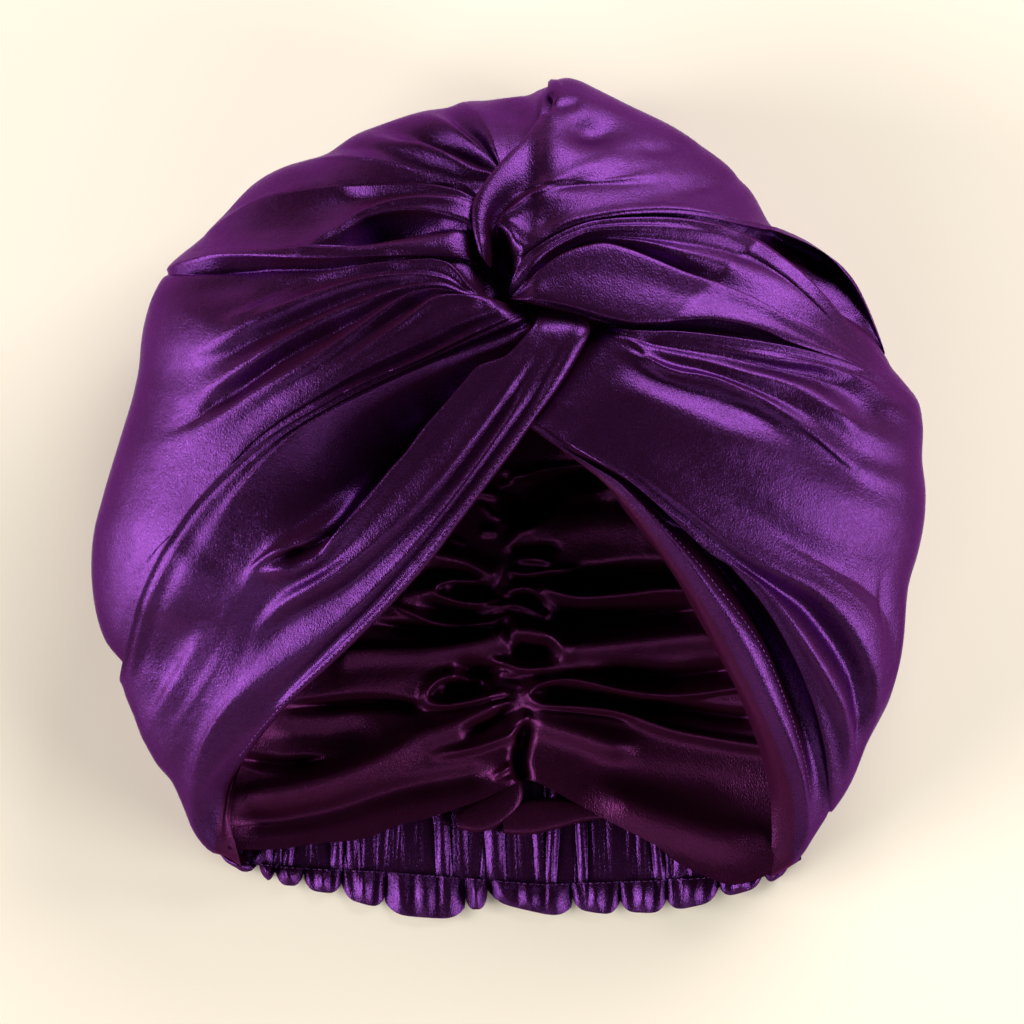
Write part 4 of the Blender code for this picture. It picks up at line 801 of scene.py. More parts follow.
        (80, -21.6, -0.8), (95, -32, -2.2), (104, -38.2, -3.4), (110, -45, -4), (116, -53, -4),
        (120, -60, -3.6), (123, -68, -3), (124, -76, -1.6), (123.4, -84, -0.8), (124.8, -90, 0),
    ]),
    Fold("side ridge 2", None, 0, [
        (5.6, 29.2, -8), (9.8, 27.4, -1.4), (22.6, 18.9, 0.6), (43, 6, 0.6), (60, -8, 0.4),
        (74, -20, 0.6), (88, -30, 1.6), (94, -36.4, 2.4), (101, -46, 3.2), (107.4, -55.4, 3.6),
        (112.6, -64, 3.6), (116.4, -71.2, 3.2), (118.6, -78.4, 2.2), (120, -85.6, 1.6),
        (120.2, -92, 0.8), (121.6, -98.4, 0),
    ]),
    Fold("side shelf", None, 0, [
        (5.3, 29, -8), (9.4, 27.1, -1.4), (22, 18.8, 0.8), (42.4, 6.2, 0.6), (58, -7.4, 0.6),
        (70, -18.4, 0.4), (84, -27.6, 0.2), (91, -36.4, 0), (97, -45.6, 0), (103, -55.4, 0),
        (108.4, -64.8, 0), (112.8, -74, 0), (115.6, -83, 0), (117, -93, 0), (118.4, -103.6, 0),
    ]),
    Fold("flap edge", "after", 7, [
        (4.5, 28.5, -8), (8, 27.1, -1.6), (12, 26.3, 0.2), (15, 24.2, 0.8), (20, 20.3, 0.9),
        (25, 16.8, 0.9), (30, 14, 0.9), (36, 10.5, 0.9), (40, 8, 0.9), (45, 4.5, 0.9), (50, 0.2, 0.9),
        (55, -3.7, 0.9), (60, -7, 0.7), (65, -11, 0.4), (70, -15.6, 0), (75, -20.8, -0.4),
        (80, -26.4, -0.6), (85.4, -32.4, -0.8), (91, -39.8, -1), (96, -48.2, -1.2), (101, -57.8, -1.2),
        (105, -66.8, -1.2), (108.4, -76, -1), (110.8, -85, -0.8), (112.4, -93, -0.6),
        (113.4, -102, -0.3), (114.2, -110, 0),
    ], 0.3, 0.98),
    Fold("hem groove", None, 0, [
        (4, 28, -9), (7.6, 26, -7), (12, 24.4, -7), (16, 21.4, -7), (21, 17.6, -7), (26, 14.2, -7),
        (32, 10.8, -7.4), (38, 7, -8), (43, 3.2, -8.4), (48, -1.4, -9), (53, -6, -9.6), (58, -10.6, -10),
        (63, -12.6, -13), (68, -17, -15), (73, -22.8, -16), (78, -29, -16), (83, -36, -16),
        (88.4, -44.6, -16), (93.2, -53, -15), (97.8, -62, -14), (101.8, -70.6, -12), (105.2, -79, -9.4),
        (107.6, -87.6, -6), (109.8, -96, -3.6), (111.2, -104, -1.8), (112, -112.4, -0.4),
    ]),
    Fold("stitch valley", None, 0, [
        (3.8, 27.8, -9.8), (7.7, 25.1, -8.6), (12.8, 22.4, -8.6), (18, 18.8, -8.4), (24, 14.8, -7.6),
        (30, 11, -6.2), (35.6, 8, -4.8), (40.6, 4.4, -3.8), (45, 0.2, -3.4), (50, -5.2, -3),
        (55, -10.4, -2.6), (60.4, -15.8, -2.4), (66.6, -22.8, -2), (72.6, -30.2, -1.8),
        (78.8, -37.8, -1.6), (84.2, -45, -1.6), (88.6, -51.6, -1.6), (92.2, -58.4, -1.6),
        (95.4, -65.6, -1.6), (98.4, -73.4, -1.4), (101, -80.8, -1.2), (103.4, -88.4, -0.9),
        (105.4, -97, -0.6), (106.8, -105, -0.3), (107.6, -113, 0), (107.6, -119.6, 0),
    ]),
    Fold("hem ridge", None, 0, [
        (3.6, 27.6, -10), (7.8, 24.8, -9), (13, 21.6, -9), (20, 17, -8), (27, 12.6, -6), (33, 9.2, -4.4),
        (37.6, 6.6, -2.8), (42, 2.8, -1.6), (46.4, -1.8, -0.6), (50.6, -6.6, 0), (55.4, -12, 0.5),
        (60.4, -18.2, 0.9), (65.6, -25, 1.2), (70.8, -32.4, 1.4), (76, -40, 1.5), (81, -48.2, 1.6),
        (85.8, -57, 1.7), (90.4, -66.2, 1.7), (94.6, -75, 1.7), (98.2, -83, 1.6), (101.2, -91, 1.5),
        (103.6, -99, 1.3), (105, -107, 1), (105.6, -114, 0.6), (105, -123, 0.2),
    ]),
    Fold("hem edge", None, 0, [
        (3.3, 27.3, -11), (7.7, 24.4, -10), (13, 21, -9.8), (20, 16.3, -9), (27, 11.4, -7.4),
        (32.4, 8, -6), (36.6, 5, -4.8), (40.6, 1.2, -3.8), (44.8, -3.4, -3), (48.8, -8.2, -2.6),
        (53.4, -14, -2.2), (58.4, -20.8, -1.9), (63.4, -28, -1.7), (68.4, -35.4, -1.6),
        (73.4, -42.8, -1.5), (78.2, -51, -1.4), (83, -59.8, -1.3), (87.6, -69, -1.2),
        (91.8, -77.6, -1.2), (95.4, -85.6, -1.2), (98.6, -93.6, -1.2), (101, -101, -1.2),
        (102.4, -108.6, -1.2), (102.8, -115.6, -1), (101.6, -128, -0.6),
    ]),
    Fold("hem turned in", None, 0, [
        (3, 27, -12), (7.6, 24, -11), (13, 20.4, -10.4), (20, 15.4, -10), (27, 10.2, -8.8),
        (32, 6.4, -7.4), (36.4, 2.4, -6.4), (40.4, -2, -5.8), (44.6, -7, -5.4), (49.4, -13.4, -5.2),
        (54.4, -20.6, -5), (59.6, -28.2, -4.8), (64.6, -35.8, -4.8), (69.4, -43.6, -4.8),
        (73.8, -52, -4.8), (78.2, -60.6, -4.8), (82.6, -69.4, -4.8), (86.8, -78, -4.8),
        (90.4, -86.4, -4.8), (93.4, -94.2, -4.8), (95.6, -101.4, -4.6), (97.4, -109, -4.4),
        (98.4, -117, -3.8), (97, -131, -2),
    ]),
    Fold("facing end", None, 0, [
        (4.6, 28.6, -18), (9.6, 26, -18), (15, 21.4, -18), (22, 16.4, -17), (30, 9.4, -16),
        (36.4, 2, -14), (42, -6, -13), (48, -14, -12.6), (54.6, -23, -12.4), (61, -33, -12.4),
        (67, -43, -12.4), (72.4, -53, -12.4), (78, -64, -12.4), (83.4, -75, -12.4), (87.6, -85, -12),
        (91, -94, -11), (93.6, -103, -10), (95.4, -112, -9), (95.6, -121, -7), (92, -133, -3),
    ]),
]

# The lining's outline: its gathered centre seam, its sides and the lower edges over the elastic
Seam = namedtuple("Seam", "y x")
SEAM = [
    Seam(66, 0.3), Seam(-30, 0.3), Seam(-46, 0.0), Seam(-57, -1.6), Seam(-65, 2.2), Seam(-72, 6.0),
    Seam(-78, 4.8), Seam(-86, 2.6), Seam(-94, 2.0), Seam(-104, 2.0),
]
Side = namedtuple("Side", "y left right")
SIDES = [
    Side(66, -82, 82), Side(36, -98, 98), Side(0, -112, 111), Side(-30, -114, 113), Side(-60, -108, 104.6),
    Side(-90, -100.4, 97.4), Side(-115, -99, 94.6), Side(-136, -99, 93),
]
Edge = namedtuple("Edge", "x y")
LOWER_EDGE = [
    Edge(-100, -123.4), Edge(-80, -123.3), Edge(-68, -121.4), Edge(-56, -120.5), Edge(-49, -119.2),
    Edge(-40, -115.4), Edge(-30, -113.0), Edge(-18.3, -109.2), Edge(-8, -105.4), Edge(-1, -102.0),
    Edge(6, -99.0), Edge(14.7, -102.2), Edge(22, -106.4), Edge(33, -112.4), Edge(46, -119.0),
    Edge(52, -122.2), Edge(59, -127.6), Edge(66, -131.2), Edge(72, -133.8), Edge(78.5, -136.0),
    Edge(86, -134.9), Edge(94, -131.4),
]

# The nape's elastic seen from above, a row for each station across
Nape = namedtuple("Nape", "x top stitch")
NAPE = [
    Nape(-108, -117.0, -121.5),
    Nape(-101, -119.0, -126.6),
    Nape(-86, -116.0, -129.8),
    Nape(-66, -112.0, -131.4),
    Nape(-50, -109.0, -132.0),
    Nape(-30, -104.0, -133.4),
    Nape(-10, -98.0, -135.0),
    Nape(12, -98.0, -136.6),
    Nape(34, -103.0, -136.0),
    Nape(54, -110.0, -135.2),
    Nape(72, -115.0, -134.2),
    Nape(86, -119.5, -133.2),
    Nape(98, -122.0, -131.0),
    Nape(104, -122.0, -127.6),
]

# The frill's flounces, from the left: where each ends, and how far down its two lower corners hang
Flounce = namedtuple("Flounce", "end left right puckers")
FLOUNCE_START = -103.0
FLOUNCES = [
    Flounce(-88.5, -128.6, -133.2, 1),
    Flounce(-82.5, -133.8, -135.4, 1),
    Flounce(-72.5, -136.6, -137.0, 1),
    Flounce(-58.8, -138.6, -139.8, 2),
    Flounce(-43.6, -141.6, -145.0, 2),
    Flounce(-15.2, -147.2, -149.0, 3),
    Flounce(-7.4, -145.2, -145.2, 1),
    Flounce(22.6, -142.6, -148.8, 3),
    Flounce(39.6, -145.4, -147.4, 2),
    Flounce(56.2, -146.2, -146.6, 2),
    Flounce(74.6, -146.0, -142.6, 2),
    Flounce(90.4, -141.2, -137.6, 2),
    Flounce(100.0, -136.4, -132.6, 1),
]

# Tails of the centre seam's facing, laid over the elastic. Each point of a path is (x, y, half width).
Tail = namedtuple("Tail", "name lift flat path")
TAILS = [
    Tail("left", 6.0, (0.012, 0.030), [
        (1, -98, 3.6), (0.5, -104, 5.0), (-5, -109.5, 6.0), (-12, -112.5, 5.4), (-18, -113.6, 3.0),
    ]),
    Tail("right", 5.2, (0.012, 0.042), [
        (-2, -114, 4.4), (6, -112.6, 6.2), (16, -111.2, 5.6), (26, -110.6, 3.6), (37, -111.4, 1.2),
    ]),
]

# Smaller ridges (height over 0) and valleys (under 0) of the cloth. lean moves the steep side to the
# right of the path (over 0) or to its left (under 0). fade is the share of the path over which each end
# runs out.
Stroke = namedtuple("Stroke", "name height width lean path fade", defaults=[0.3])

# The lining's swags, slits and loops around the gathered centre seam
LINING_STROKES = [
    Stroke("left small ridge", 2, 1.6, 0, [(-14, 3), (-8, 2.4), (-2, 1.4)]),
    Stroke("left thin ridge", 1.4, 0.9, 0, [(-11, 0.6), (-8, -3), (-5, -5.6), (-1, -7)]),
    Stroke("left pucker 1", 1.8, 1.8, 0, [(-11, -11), (-7, -11), (-3, -11.4)]),
    Stroke("left pucker 2", 1.2, 0.9, 0, [(-21, -12.6), (-18, -14.4), (-14, -16)]),
    Stroke("left upper swag", 3.4, 3.4, 0.2, [
        (-40, -16), (-24, -19.5), (-16, -21.5), (-9, -24.6), (-2, -27),
    ], 0.12),
    Stroke("left slit 1", -5, 1.9, 0, [(-34, -26.4), (-24, -25.8), (-16, -26.2), (-8, -29)]),
    Stroke("left loop 1", 2.8, 1.5, -0.5, [
        (-3, -30), (-12, -28.6), (-20, -28.5), (-25, -30.2), (-24.6, -33), (-19, -35), (-13, -36.2),
        (-7, -35.6), (1, -33.6),
    ], 0.15),
    Stroke("left loop 1 hollow", -5, 2.2, 0, [(-22, -31.6), (-14, -32), (-4, -31.6)]),
    Stroke("left loop 1 end", 2, 3, 0, [(-25, -31.4), (-32, -33), (-42, -35)]),
    Stroke("left slit 2", -6, 2.6, 0, [(-33, -36.6), (-24, -38.8), (-16, -40.4), (-7, -40)]),
    Stroke("left rim 2", 2.6, 1.5, 0, [
        (-44, -34), (-38, -38), (-32, -40.6), (-26, -43), (-20, -44.4), (-12, -44.2), (-6, -43),
        (-2, -40.6),
    ], 0.2),
    Stroke("left slit 3", -6, 1.9, 0, [
        (-52, -43), (-40, -44.8), (-32, -46), (-22, -47), (-12, -46.2), (-4, -45),
    ]),
    Stroke("left ridge 3", 5, 4.2, 0.5, [
        (0, -45.6), (-6, -48.4), (-12, -50), (-22, -51.8), (-34, -52.8), (-50, -53), (-64, -54),
    ], 0.1),
    Stroke("left swell 4", 2, 5, 0, [(-20, -61), (-40, -63), (-70, -66)]),
    Stroke("left black 4", -6, 2.8, 0, [(-20, -59.8), (-10, -60.4), (-2, -62)]),
    Stroke("left loop 5", 4.2, 1.8, -0.5, [
        (-13, -62.8), (-20, -62.5), (-25, -64.2), (-28.6, -68.2), (-27.2, -71.2), (-22, -72.2),
        (-14, -70.8), (-8, -69), (0, -66.6),
    ], 0.12),
    Stroke("left loop 5 hollow", -5, 2.2, 0, [(-24, -67.4), (-15, -66.6), (-6, -65.6)]),
    Stroke("left slit 5", -7, 2, 0, [
        (-84, -73.6), (-66, -72.6), (-56, -71.8), (-46, -71.6), (-36, -72.8), (-28, -74.6),
    ], 0.25),
    Stroke("left crease 5", -2.4, 1, 0, [
        (-32, -74.4), (-20, -74), (-12, -72.6), (-4, -70.6), (2, -69.6),
    ], 0.2),
    Stroke("left ridge 6", 5, 5, 0.3, [
        (2, -70.6), (-6, -73.4), (-14, -77), (-24, -80.4), (-32, -83), (-40, -88), (-50, -93),
        (-60, -97), (-72, -100.4), (-86, -103), (-102, -104),
    ], 0.1),
    Stroke("left lens 6", -7, 2.3, 0, [(-18, -83), (-9, -79.8), (-3, -76.6), (4, -72.6)]),
    Stroke("left seam ridge", 3, 1.8, 0, [
        (7, -72.4), (5, -78), (1, -82.6), (-6, -85.6), (-16, -88.4), (-30, -91),
    ], 0.2),
    Stroke("left plum dip", -3, 5, 0, [(-44, -79), (-58, -83), (-74, -84), (-92, -82)]),
    Stroke("left slit 6", -5, 2.2, 0, [(-100, -90.6), (-86, -92.6), (-76, -93), (-60, -91)]),
    Stroke("left last valley", -3.6, 4, 0, [
        (-2, -96), (-20, -99.4), (-34, -102), (-48, -106), (-62, -110.4), (-80, -113.6), (-100, -114.6),
    ], 0.1),
    Stroke("left seam puckers", 2, 1.2, 0, [(-6, -98.4), (-2, -95.8), (2, -93)]),
    Stroke("right thin ridge", 3.2, 1.5, 0, [
        (-1, 7.4), (6, 8.8), (12, 10.6), (20, 11.6), (30, 12.2), (42, 12.6),
    ], 0.1),
    Stroke("right black", -8, 6, 0, [(-4, -3), (10, 0), (16, 4), (24, 7.6), (36, 9)], 0.15),
    Stroke("right swag edge", 4, 2.4, -0.5, [
        (-2, -12.6), (5, -10.4), (10, -8), (15, -4), (18, 0), (21, 2.6), (26, 4), (34, 4.4), (46, 4),
    ], 0.1),
    Stroke("right swag", 2.6, 7, 0, [(2, -14), (20, -9), (36, -7), (58, -9)], 0.15),
    Stroke("right black 1", -4, 1.7, 0, [(0, -17.8), (8, -17.6), (20, -16.6)]),
    Stroke("right pucker 1", 3, 1.6, 0, [(1, -20.4), (8, -20.6), (13, -21.4), (17, -24)]),
    Stroke("right pucker 2", 2.4, 1.3, 0, [
        (-1, -24.2), (5, -26), (10, -25.6), (16, -24.8), (28, -24),
    ], 0.15),
    Stroke("right slit 1 thin", -3, 0.9, 0, [(0, -28), (14, -28), (28, -27.4)], 0.15),
    Stroke("right slit 1", -7, 2.9, 0, [
        (18, -27.6), (32, -26.6), (44, -25.2), (56, -25.4), (72, -27),
    ], 0.2),
    Stroke("right band 1", 5.4, 2.6, -0.2, [
        (10, -29.4), (16, -32), (25, -34), (35, -33.6), (45, -32.6), (55, -31.4), (72, -31.4),
    ], 0.1),
    Stroke("right eye rim", 2, 1.1, 0.5, [
        (-2, -33), (4, -31.2), (8, -31.6), (11.4, -33.4), (14, -36.4), (14.8, -39.2), (13, -40.6),
        (10, -39.4), (7, -37.8), (3, -37), (-1, -38.4),
    ], 0.1),
    Stroke("right eye", -5, 1.5, 0, [(0, -34.4), (7, -34.8), (12, -38)]),
    Stroke("knot 1", 1.5, 0.8, 0, [(-3, -33), (0, -33.8), (1.5, -35.8), (0.6, -38.2)]),
    Stroke("knot 2", 1.5, 0.8, 0, [(-10, -38.4), (-5, -37.5), (-1, -37.4), (4, -37)]),
    Stroke("knot 3", 1.6, 0.9, 0, [(-8, -40.2), (-3, -38.9), (0, -39.6), (-3, -42), (-6, -43)]),
    Stroke("right slit 2", -8, 3.3, 0, [
        (14, -41.4), (26, -41.6), (36, -41.4), (46, -40.8), (56, -40), (76, -38),
    ], 0.15),
    Stroke("right band 2", 6, 4.6, -0.3, [
        (-2, -45.6), (8, -46), (15, -47.8), (20, -51), (30, -51), (44, -49.6), (60, -48), (82, -46.6),
    ], 0.08),
    Stroke("right ellipse", -8, 3, 0, [(0, -52), (9, -52.8), (18, -53.8)]),
    Stroke("right ellipse rim", 2.2, 2.2, 0.5, [
        (11, -46.8), (17, -49.8), (19.6, -54), (17, -58.4), (9, -60),
    ]),
    Stroke("right ridge 3", 3.4, 1.8, 0, [(-8, -56), (0, -58.4), (6, -59.5), (12, -59), (20, -56)]),
    Stroke("right slit 3 thin", -3, 1.1, 0, [(8, -63), (18, -61.4), (30, -60.8), (44, -61)], 0.2),
    Stroke("right slit 3", -8, 3, 0, [(30, -60.8), (46, -61.6), (58, -62.2), (70, -61), (90, -59)], 0.2),
    Stroke("right loop", 4.2, 2.1, -0.45, [
        (92, -65.4), (84, -66.2), (76, -67.2), (67, -68.5), (55, -69.2), (41, -67.4), (30, -64.9),
        (22, -63.4), (15, -64), (10, -65.9), (7.7, -68.3), (10, -70.9), (15, -72.3), (26, -72.9),
        (36, -74), (44, -76), (52, -79), (60, -81.4), (70, -83.4), (80, -85), (98, -87.4),
    ], 0.02),
    Stroke("right loop hollow", -6, 1.9, 0, [
        (10, -68.4), (20, -68.5), (30, -69.4), (38, -70.6), (46, -72.3), (60, -74),
    ], 0.15),
    Stroke("right slit 4", -7, 2.5, 0, [
        (46, -72.4), (58, -73.8), (70, -75.3), (80, -76.6), (94, -77.4),
    ], 0.2),
    Stroke("right crease 5", -2, 1, 0, [(6, -73.4), (22, -74.8), (36, -76.4), (46, -79)]),
    Stroke("right swell 5", 4.6, 5, 0, [(3, -75), (14, -79), (26, -82.6), (36, -86), (50, -89)], 0.25),
    Stroke("right plum dip", -2, 6, 0, [(20, -95), (46, -98), (70, -101), (96, -103)]),
    Stroke("right last swag", 5.4, 7, -0.2, [
        (26, -100), (44, -108), (54, -112), (64, -115), (76, -118), (100, -121),
    ], 0.2),
    Stroke("seam hollow", -9, 2.4, 0, [(7.4, -77), (5, -86), (4, -94), (7, -103)], 0.25),
]

# Soft oval dents and swells. turn is the angle of the long side in degrees.
Dent = namedtuple("Dent", "name lift x y long short turn")
DENTS = [
    Dent("crown dent", -4.4, 29.6, 129.2, 9.4, 5.2, 4),
    Dent("crown dent lip", 0.6, 27.0, 138.0, 10.0, 3.6, -10),
    Dent("crown shade", -1.2, 54.0, 122.6, 12.0, 2.6, 4),
    Dent("crown lower shade", -1.4, 70.0, 110.0, 13.0, 3.0, 12),
    Dent("twist shade", -2.0, 13.0, 97.0, 6.0, 4.0, 40),
    Dent("left flank dip", -2.0, -98.0, 76.0, 14.0, 5.0, 12),
]

LEFT_STROKES = [
    Stroke("side thin line", 0.7, 1.5, 0.4, [(-66, 78), (-80, 71.5), (-90, 66), (-102, 61)]),
    Stroke("lobe branch", 0.8, 2.0, 0.2, [(-76, 85), (-70, 87), (-64, 91), (-60, 96)]),
    Stroke("hollow soft ridge", 1.5, 4.0, 0.3, [(-52, -2), (-65, -11), (-78, -15), (-88, -21)]),
    Stroke("small hollow", -2.6, 3.0, 0.0, [(-62, -14), (-70, -18.6), (-78, -18.6)]),
    Stroke("small hollow rim", 1.2, 2.4, 0.4, [(-61, -17), (-68, -21), (-76, -24), (-90, -22)]),
    Stroke("side bright swell", 1.6, 9.0, 0.0, [(-106, -14), (-116, -30), (-124, -46)]),
    Stroke("side dip", -1.2, 9.0, 0.0, [(-98, -36), (-112, -52), (-122, -66)]),
]

RIGHT_STROKES = [
    Stroke("soft crease", -0.9, 1.6, -0.5, [
        (1, 106), (8, 108.6), (18, 109.7), (34, 110), (48, 110.8), (62, 112),
    ]),
    Stroke("peak tuck", -2.4, 1.6, 0.3, [(13.4, 133), (14.4, 138), (15.6, 141.6)]),
    Stroke("peak crease", -1.6, 2.0, -0.3, [(14.6, 136), (20, 138.2), (27, 139.6)]),
    Stroke("peak bump", 1.4, 2.6, 0.0, [(11.6, 140.6), (15, 144.6), (18, 147)]),
    Stroke("flap thin fold", 0.8, 1.4, 0.5, [(39.6, 58.6), (45, 53), (50, 48), (57, 43.6), (63, 41.6)]),
    Stroke("flap low ridge", 0.9, 3.0, 0.2, [(62, 46), (85, 42), (100, 36), (115, 29), (122, 24)]),
    Stroke("limb line", -0.9, 1.6, 0.5, [
        (130.4, -18), (131.5, -38), (131, -52), (130.4, -65), (128.6, -74),
    ]),
]


def curve_at(knots, values, at):
    """A smooth curve through the values, read at the given parameters."""
    knots = np.asarray(knots, float)
    values = np.asarray(values, float)
    slopes = np.diff(values, axis=0) / np.diff(knots)[:, None]
    tangents = np.empty_like(values)
    tangents[0] = slopes[0]
    tangents[-1] = slopes[-1]
    before = np.diff(knots)[:-1, None]
    after = np.diff(knots)[1:, None]
    tangents[1:-1] = (slopes[:-1] * after + slopes[1:] * before) / (before + after)
    span = np.clip(np.searchsorted(knots, at, side="right") - 1, 0, len(knots) - 2)
    width = (knots[span + 1] - knots[span])[:, None]
    s = ((at - knots[span])[:, None]) / width
    return (
        (2 * s**3 - 3 * s**2 + 1) * values[span]
        + (s**3 - 2 * s**2 + s) * width * tangents[span]
        + (3 * s**2 - 2 * s**3) * values[span + 1]
        + (s**3 - s**2) * width * tangents[span + 1]
    )


def outline_table():
    angles = []
    radii = []
    for row in OUTLINE:
        dx = row.x - DOME_MIDDLE[0]
        dy = row.y - DOME_MIDDLE[1]
        angles.append(math.atan2(dy, dx))
        radii.append(math.hypot(dx, dy))
    order = np.argsort(angles)
    angles = np.array(angles)[order]
    radii = np.array(radii)[order]
    turn = 2 * math.pi
    knots = np.concatenate([angles - turn, angles, angles + turn])
    return knots, np.tile(radii, 3)[:, None]


OUTLINE_KNOTS, OUTLINE_RADII = outline_table()


def outline_radius(x, y):
    angle = np.arctan2(y - DOME_MIDDLE[1], x - DOME_MIDDLE[0])
    return curve_at(OUTLINE_KNOTS, OUTLINE_RADII, angle.reshape(-1)).reshape(angle.shape)


def share_out(x, y):
    """How far out a plan point is: 0 in the middle and 1 on the outline."""
    reach = np.hypot(x - DOME_MIDDLE[0], y - DOME_MIDDLE[1])
    return reach / outline_radius(x, y)


def column_at(rows, name, at, by="y"):
    """A table's column as a smooth curve over another of its columns."""
    rows = sorted(rows, key=lambda row: getattr(row, by))
    knots = [getattr(row, by) for row in rows]
    values = [[getattr(row, name)] for row in rows]
    flat = np.clip(np.asarray(at, float).reshape(-1), knots[0], knots[-1])
    return curve_at(knots, values, flat).reshape(np.shape(at))


def dome_height(x, y):
    share = np.clip(share_out(x, y), 0, 1)
    rim = column_at(SECTIONS, "rim", y)
    crest = column_at(SECTIONS, "crest", y)
    return rim + (crest - rim) * (1 - share**DOME_POWER) ** (1 / DOME_ROUND)


def dome_normal(x, y):
    """Unit normals of the dome, which turn level at the outline."""
    reach = NORMAL_STEP
    share = np.clip(share_out(x, y), 0, 1)
    inner = np.clip(share, 0, NORMAL_INNER)
    scale = np.where(share > 1e-6, inner / np.maximum(share, 1e-6), 1)
    ix = DOME_MIDDLE[0] + (x - DOME_MIDDLE[0]) * scale
    iy = DOME_MIDDLE[1] + (y - DOME_MIDDLE[1]) * scale
    slope_x = (dome_height(ix + reach, iy) - dome_height(ix - reach, iy)) / (2 * reach)
    slope_y = (dome_height(ix, iy + reach) - dome_height(ix, iy - reach)) / (2 * reach)
    normal = np.stack([-slope_x, -slope_y, np.ones_like(slope_x)], axis=-1)
    level = np.clip((share - LEVEL_START) / 0.1, 0, 1)[..., None]
    normal[..., 2:] *= 1 - level
    return normal / np.linalg.norm(normal, axis=-1, keepdims=True)


def fold_path(path, stations):
    """(x, y, lift) at each station of a fold's smooth path, which ends on the outline."""
    points = np.array(path, float)
    x, y = points[-1, :2]
    scale = 1 / float(share_out(np.array(x), np.array(y)))
    points[-1, 0] = DOME_MIDDLE[0] + (x - DOME_MIDDLE[0]) * scale
    points[-1, 1] = DOME_MIDDLE[1] + (y - DOME_MIDDLE[1]) * scale
    lengths = np.linalg.norm(np.diff(points[:, :2], axis=0), axis=1)
    knots = np.concatenate([[0], np.cumsum(lengths)])
    return curve_at(knots, points, stations * knots[-1])


def ease(value):
    value = np.clip(value, 0, 1)
    return value * value * (3 - 2 * value)


def tucked(path, body, side, fold, beyond):
    """The hidden crease beside an edge: under the body, and lower, until the fold runs out towards beyond."""
    drop = fold.drop
    along = np.gradient(path[:, :2], axis=0)
    along /= np.linalg.norm(along, axis=1, keepdims=True) + 1e-9
    across = np.stack([-along[:, 1], along[:, 0]], axis=1) * side
    run = np.concatenate([[0], np.cumsum(np.linalg.norm(np.diff(path[:, :2], axis=0), axis=1))])
    gone = (1 - fold.last) * ease((run / run[-1] - fold.close + CREASE_FADE) / CREASE_FADE)
    grow = np.clip(run / CREASE_START, 0.15, 1) * (1 - gone)
    room = np.linalg.norm(body[:, :2] - path[:, :2], axis=1)
    shift = np.minimum(drop * CREASE_IN, room * CREASE_ROOM) * grow
    under = path.copy()
    under[:, :2] += across * shift[:, None]
    under[:, 2] -= drop * grow * np.clip(room / 2, 0.3, 1)
    flat = path + (beyond - path) * CREASE_FLAT
    return under + (flat - under) * gone[:, None]


def ribs_of(folds, stations, side):
    """Every fold as sampled points, with a hidden crease beside each edge."""
    paths = [fold_path(fold.path, stations) for fold in folds]
    ribs = []
    for i, (fold, path) in enumerate(zip(folds, paths)):
        if fold.over == "before":
            ribs.append(tucked(path, paths[i + 1], side, fold, paths[i - 1]))
        ribs.append(path)
        if fold.over == "after":
            ribs.append(tucked(path, paths[i - 1], -side, fold, paths[i + 1]))
    return np.array(ribs)


def across_ribs(ribs, span_width):
    """Columns of points across the ribs, closer together where the ribs are, and each rib's own column."""
    spread = np.linalg.norm(np.diff(ribs[:, :, :2], axis=0), axis=2)
    wide = np.percentile(spread, 80, axis=1)
    between = np.clip(np.ceil(wide / span_width), 2, 12).astype(int)
    columns = np.empty((between.sum() + 1, ribs.shape[1], ribs.shape[2]))
    for station in range(ribs.shape[1]):
        points = ribs[:, station]
        spacing = np.maximum(np.linalg.norm(np.diff(points, axis=0), axis=1), 0.3) ** 0.5
        knots = np.concatenate([[0], np.cumsum(spacing)])
        places = [knots[i] + spacing[i] * part / n for i, n in enumerate(between) for part in range(n)]
        columns[:, station] = curve_at(knots, points, np.array(places + [knots[-1]]))
    return columns, np.concatenate([[0], np.cumsum(between)])


def raised(columns):
    """Dome points lifted along the dome's normal."""
    x = columns[..., 0]
    y = columns[..., 1]
    out = share_out(x, y)
    held = np.where(out > 1, 1 / out, 1)
    x = DOME_MIDDLE[0] + (x - DOME_MIDDLE[0]) * held
    y = DOME_MIDDLE[1] + (y - DOME_MIDDLE[1]) * held
    base = np.stack([x, y, dome_height(x, y)], axis=-1)
    return base + dome_normal(x, y) * columns[..., 2:3]


def nearest_on(line, px, py):
    """Distance from each point to a line, how far along the line that is, and on which side of it."""
    step = np.diff(line, axis=0)
    dx = px[:, None] - line[:-1, 0]
    dy = py[:, None] - line[:-1, 1]
    part = np.clip((dx * step[:, 0] + dy * step[:, 1]) / (step**2).sum(axis=1), 0, 1)
    away = np.hypot(dx - part * step[:, 0], dy - part * step[:, 1])
    best = away.argmin(axis=1)
    every = np.arange(len(px))
    side = np.sign(dx[every, best] * step[best, 1] - dy[every, best] * step[best, 0])
    return away[every, best], (best + part[every, best]) / len(step), side


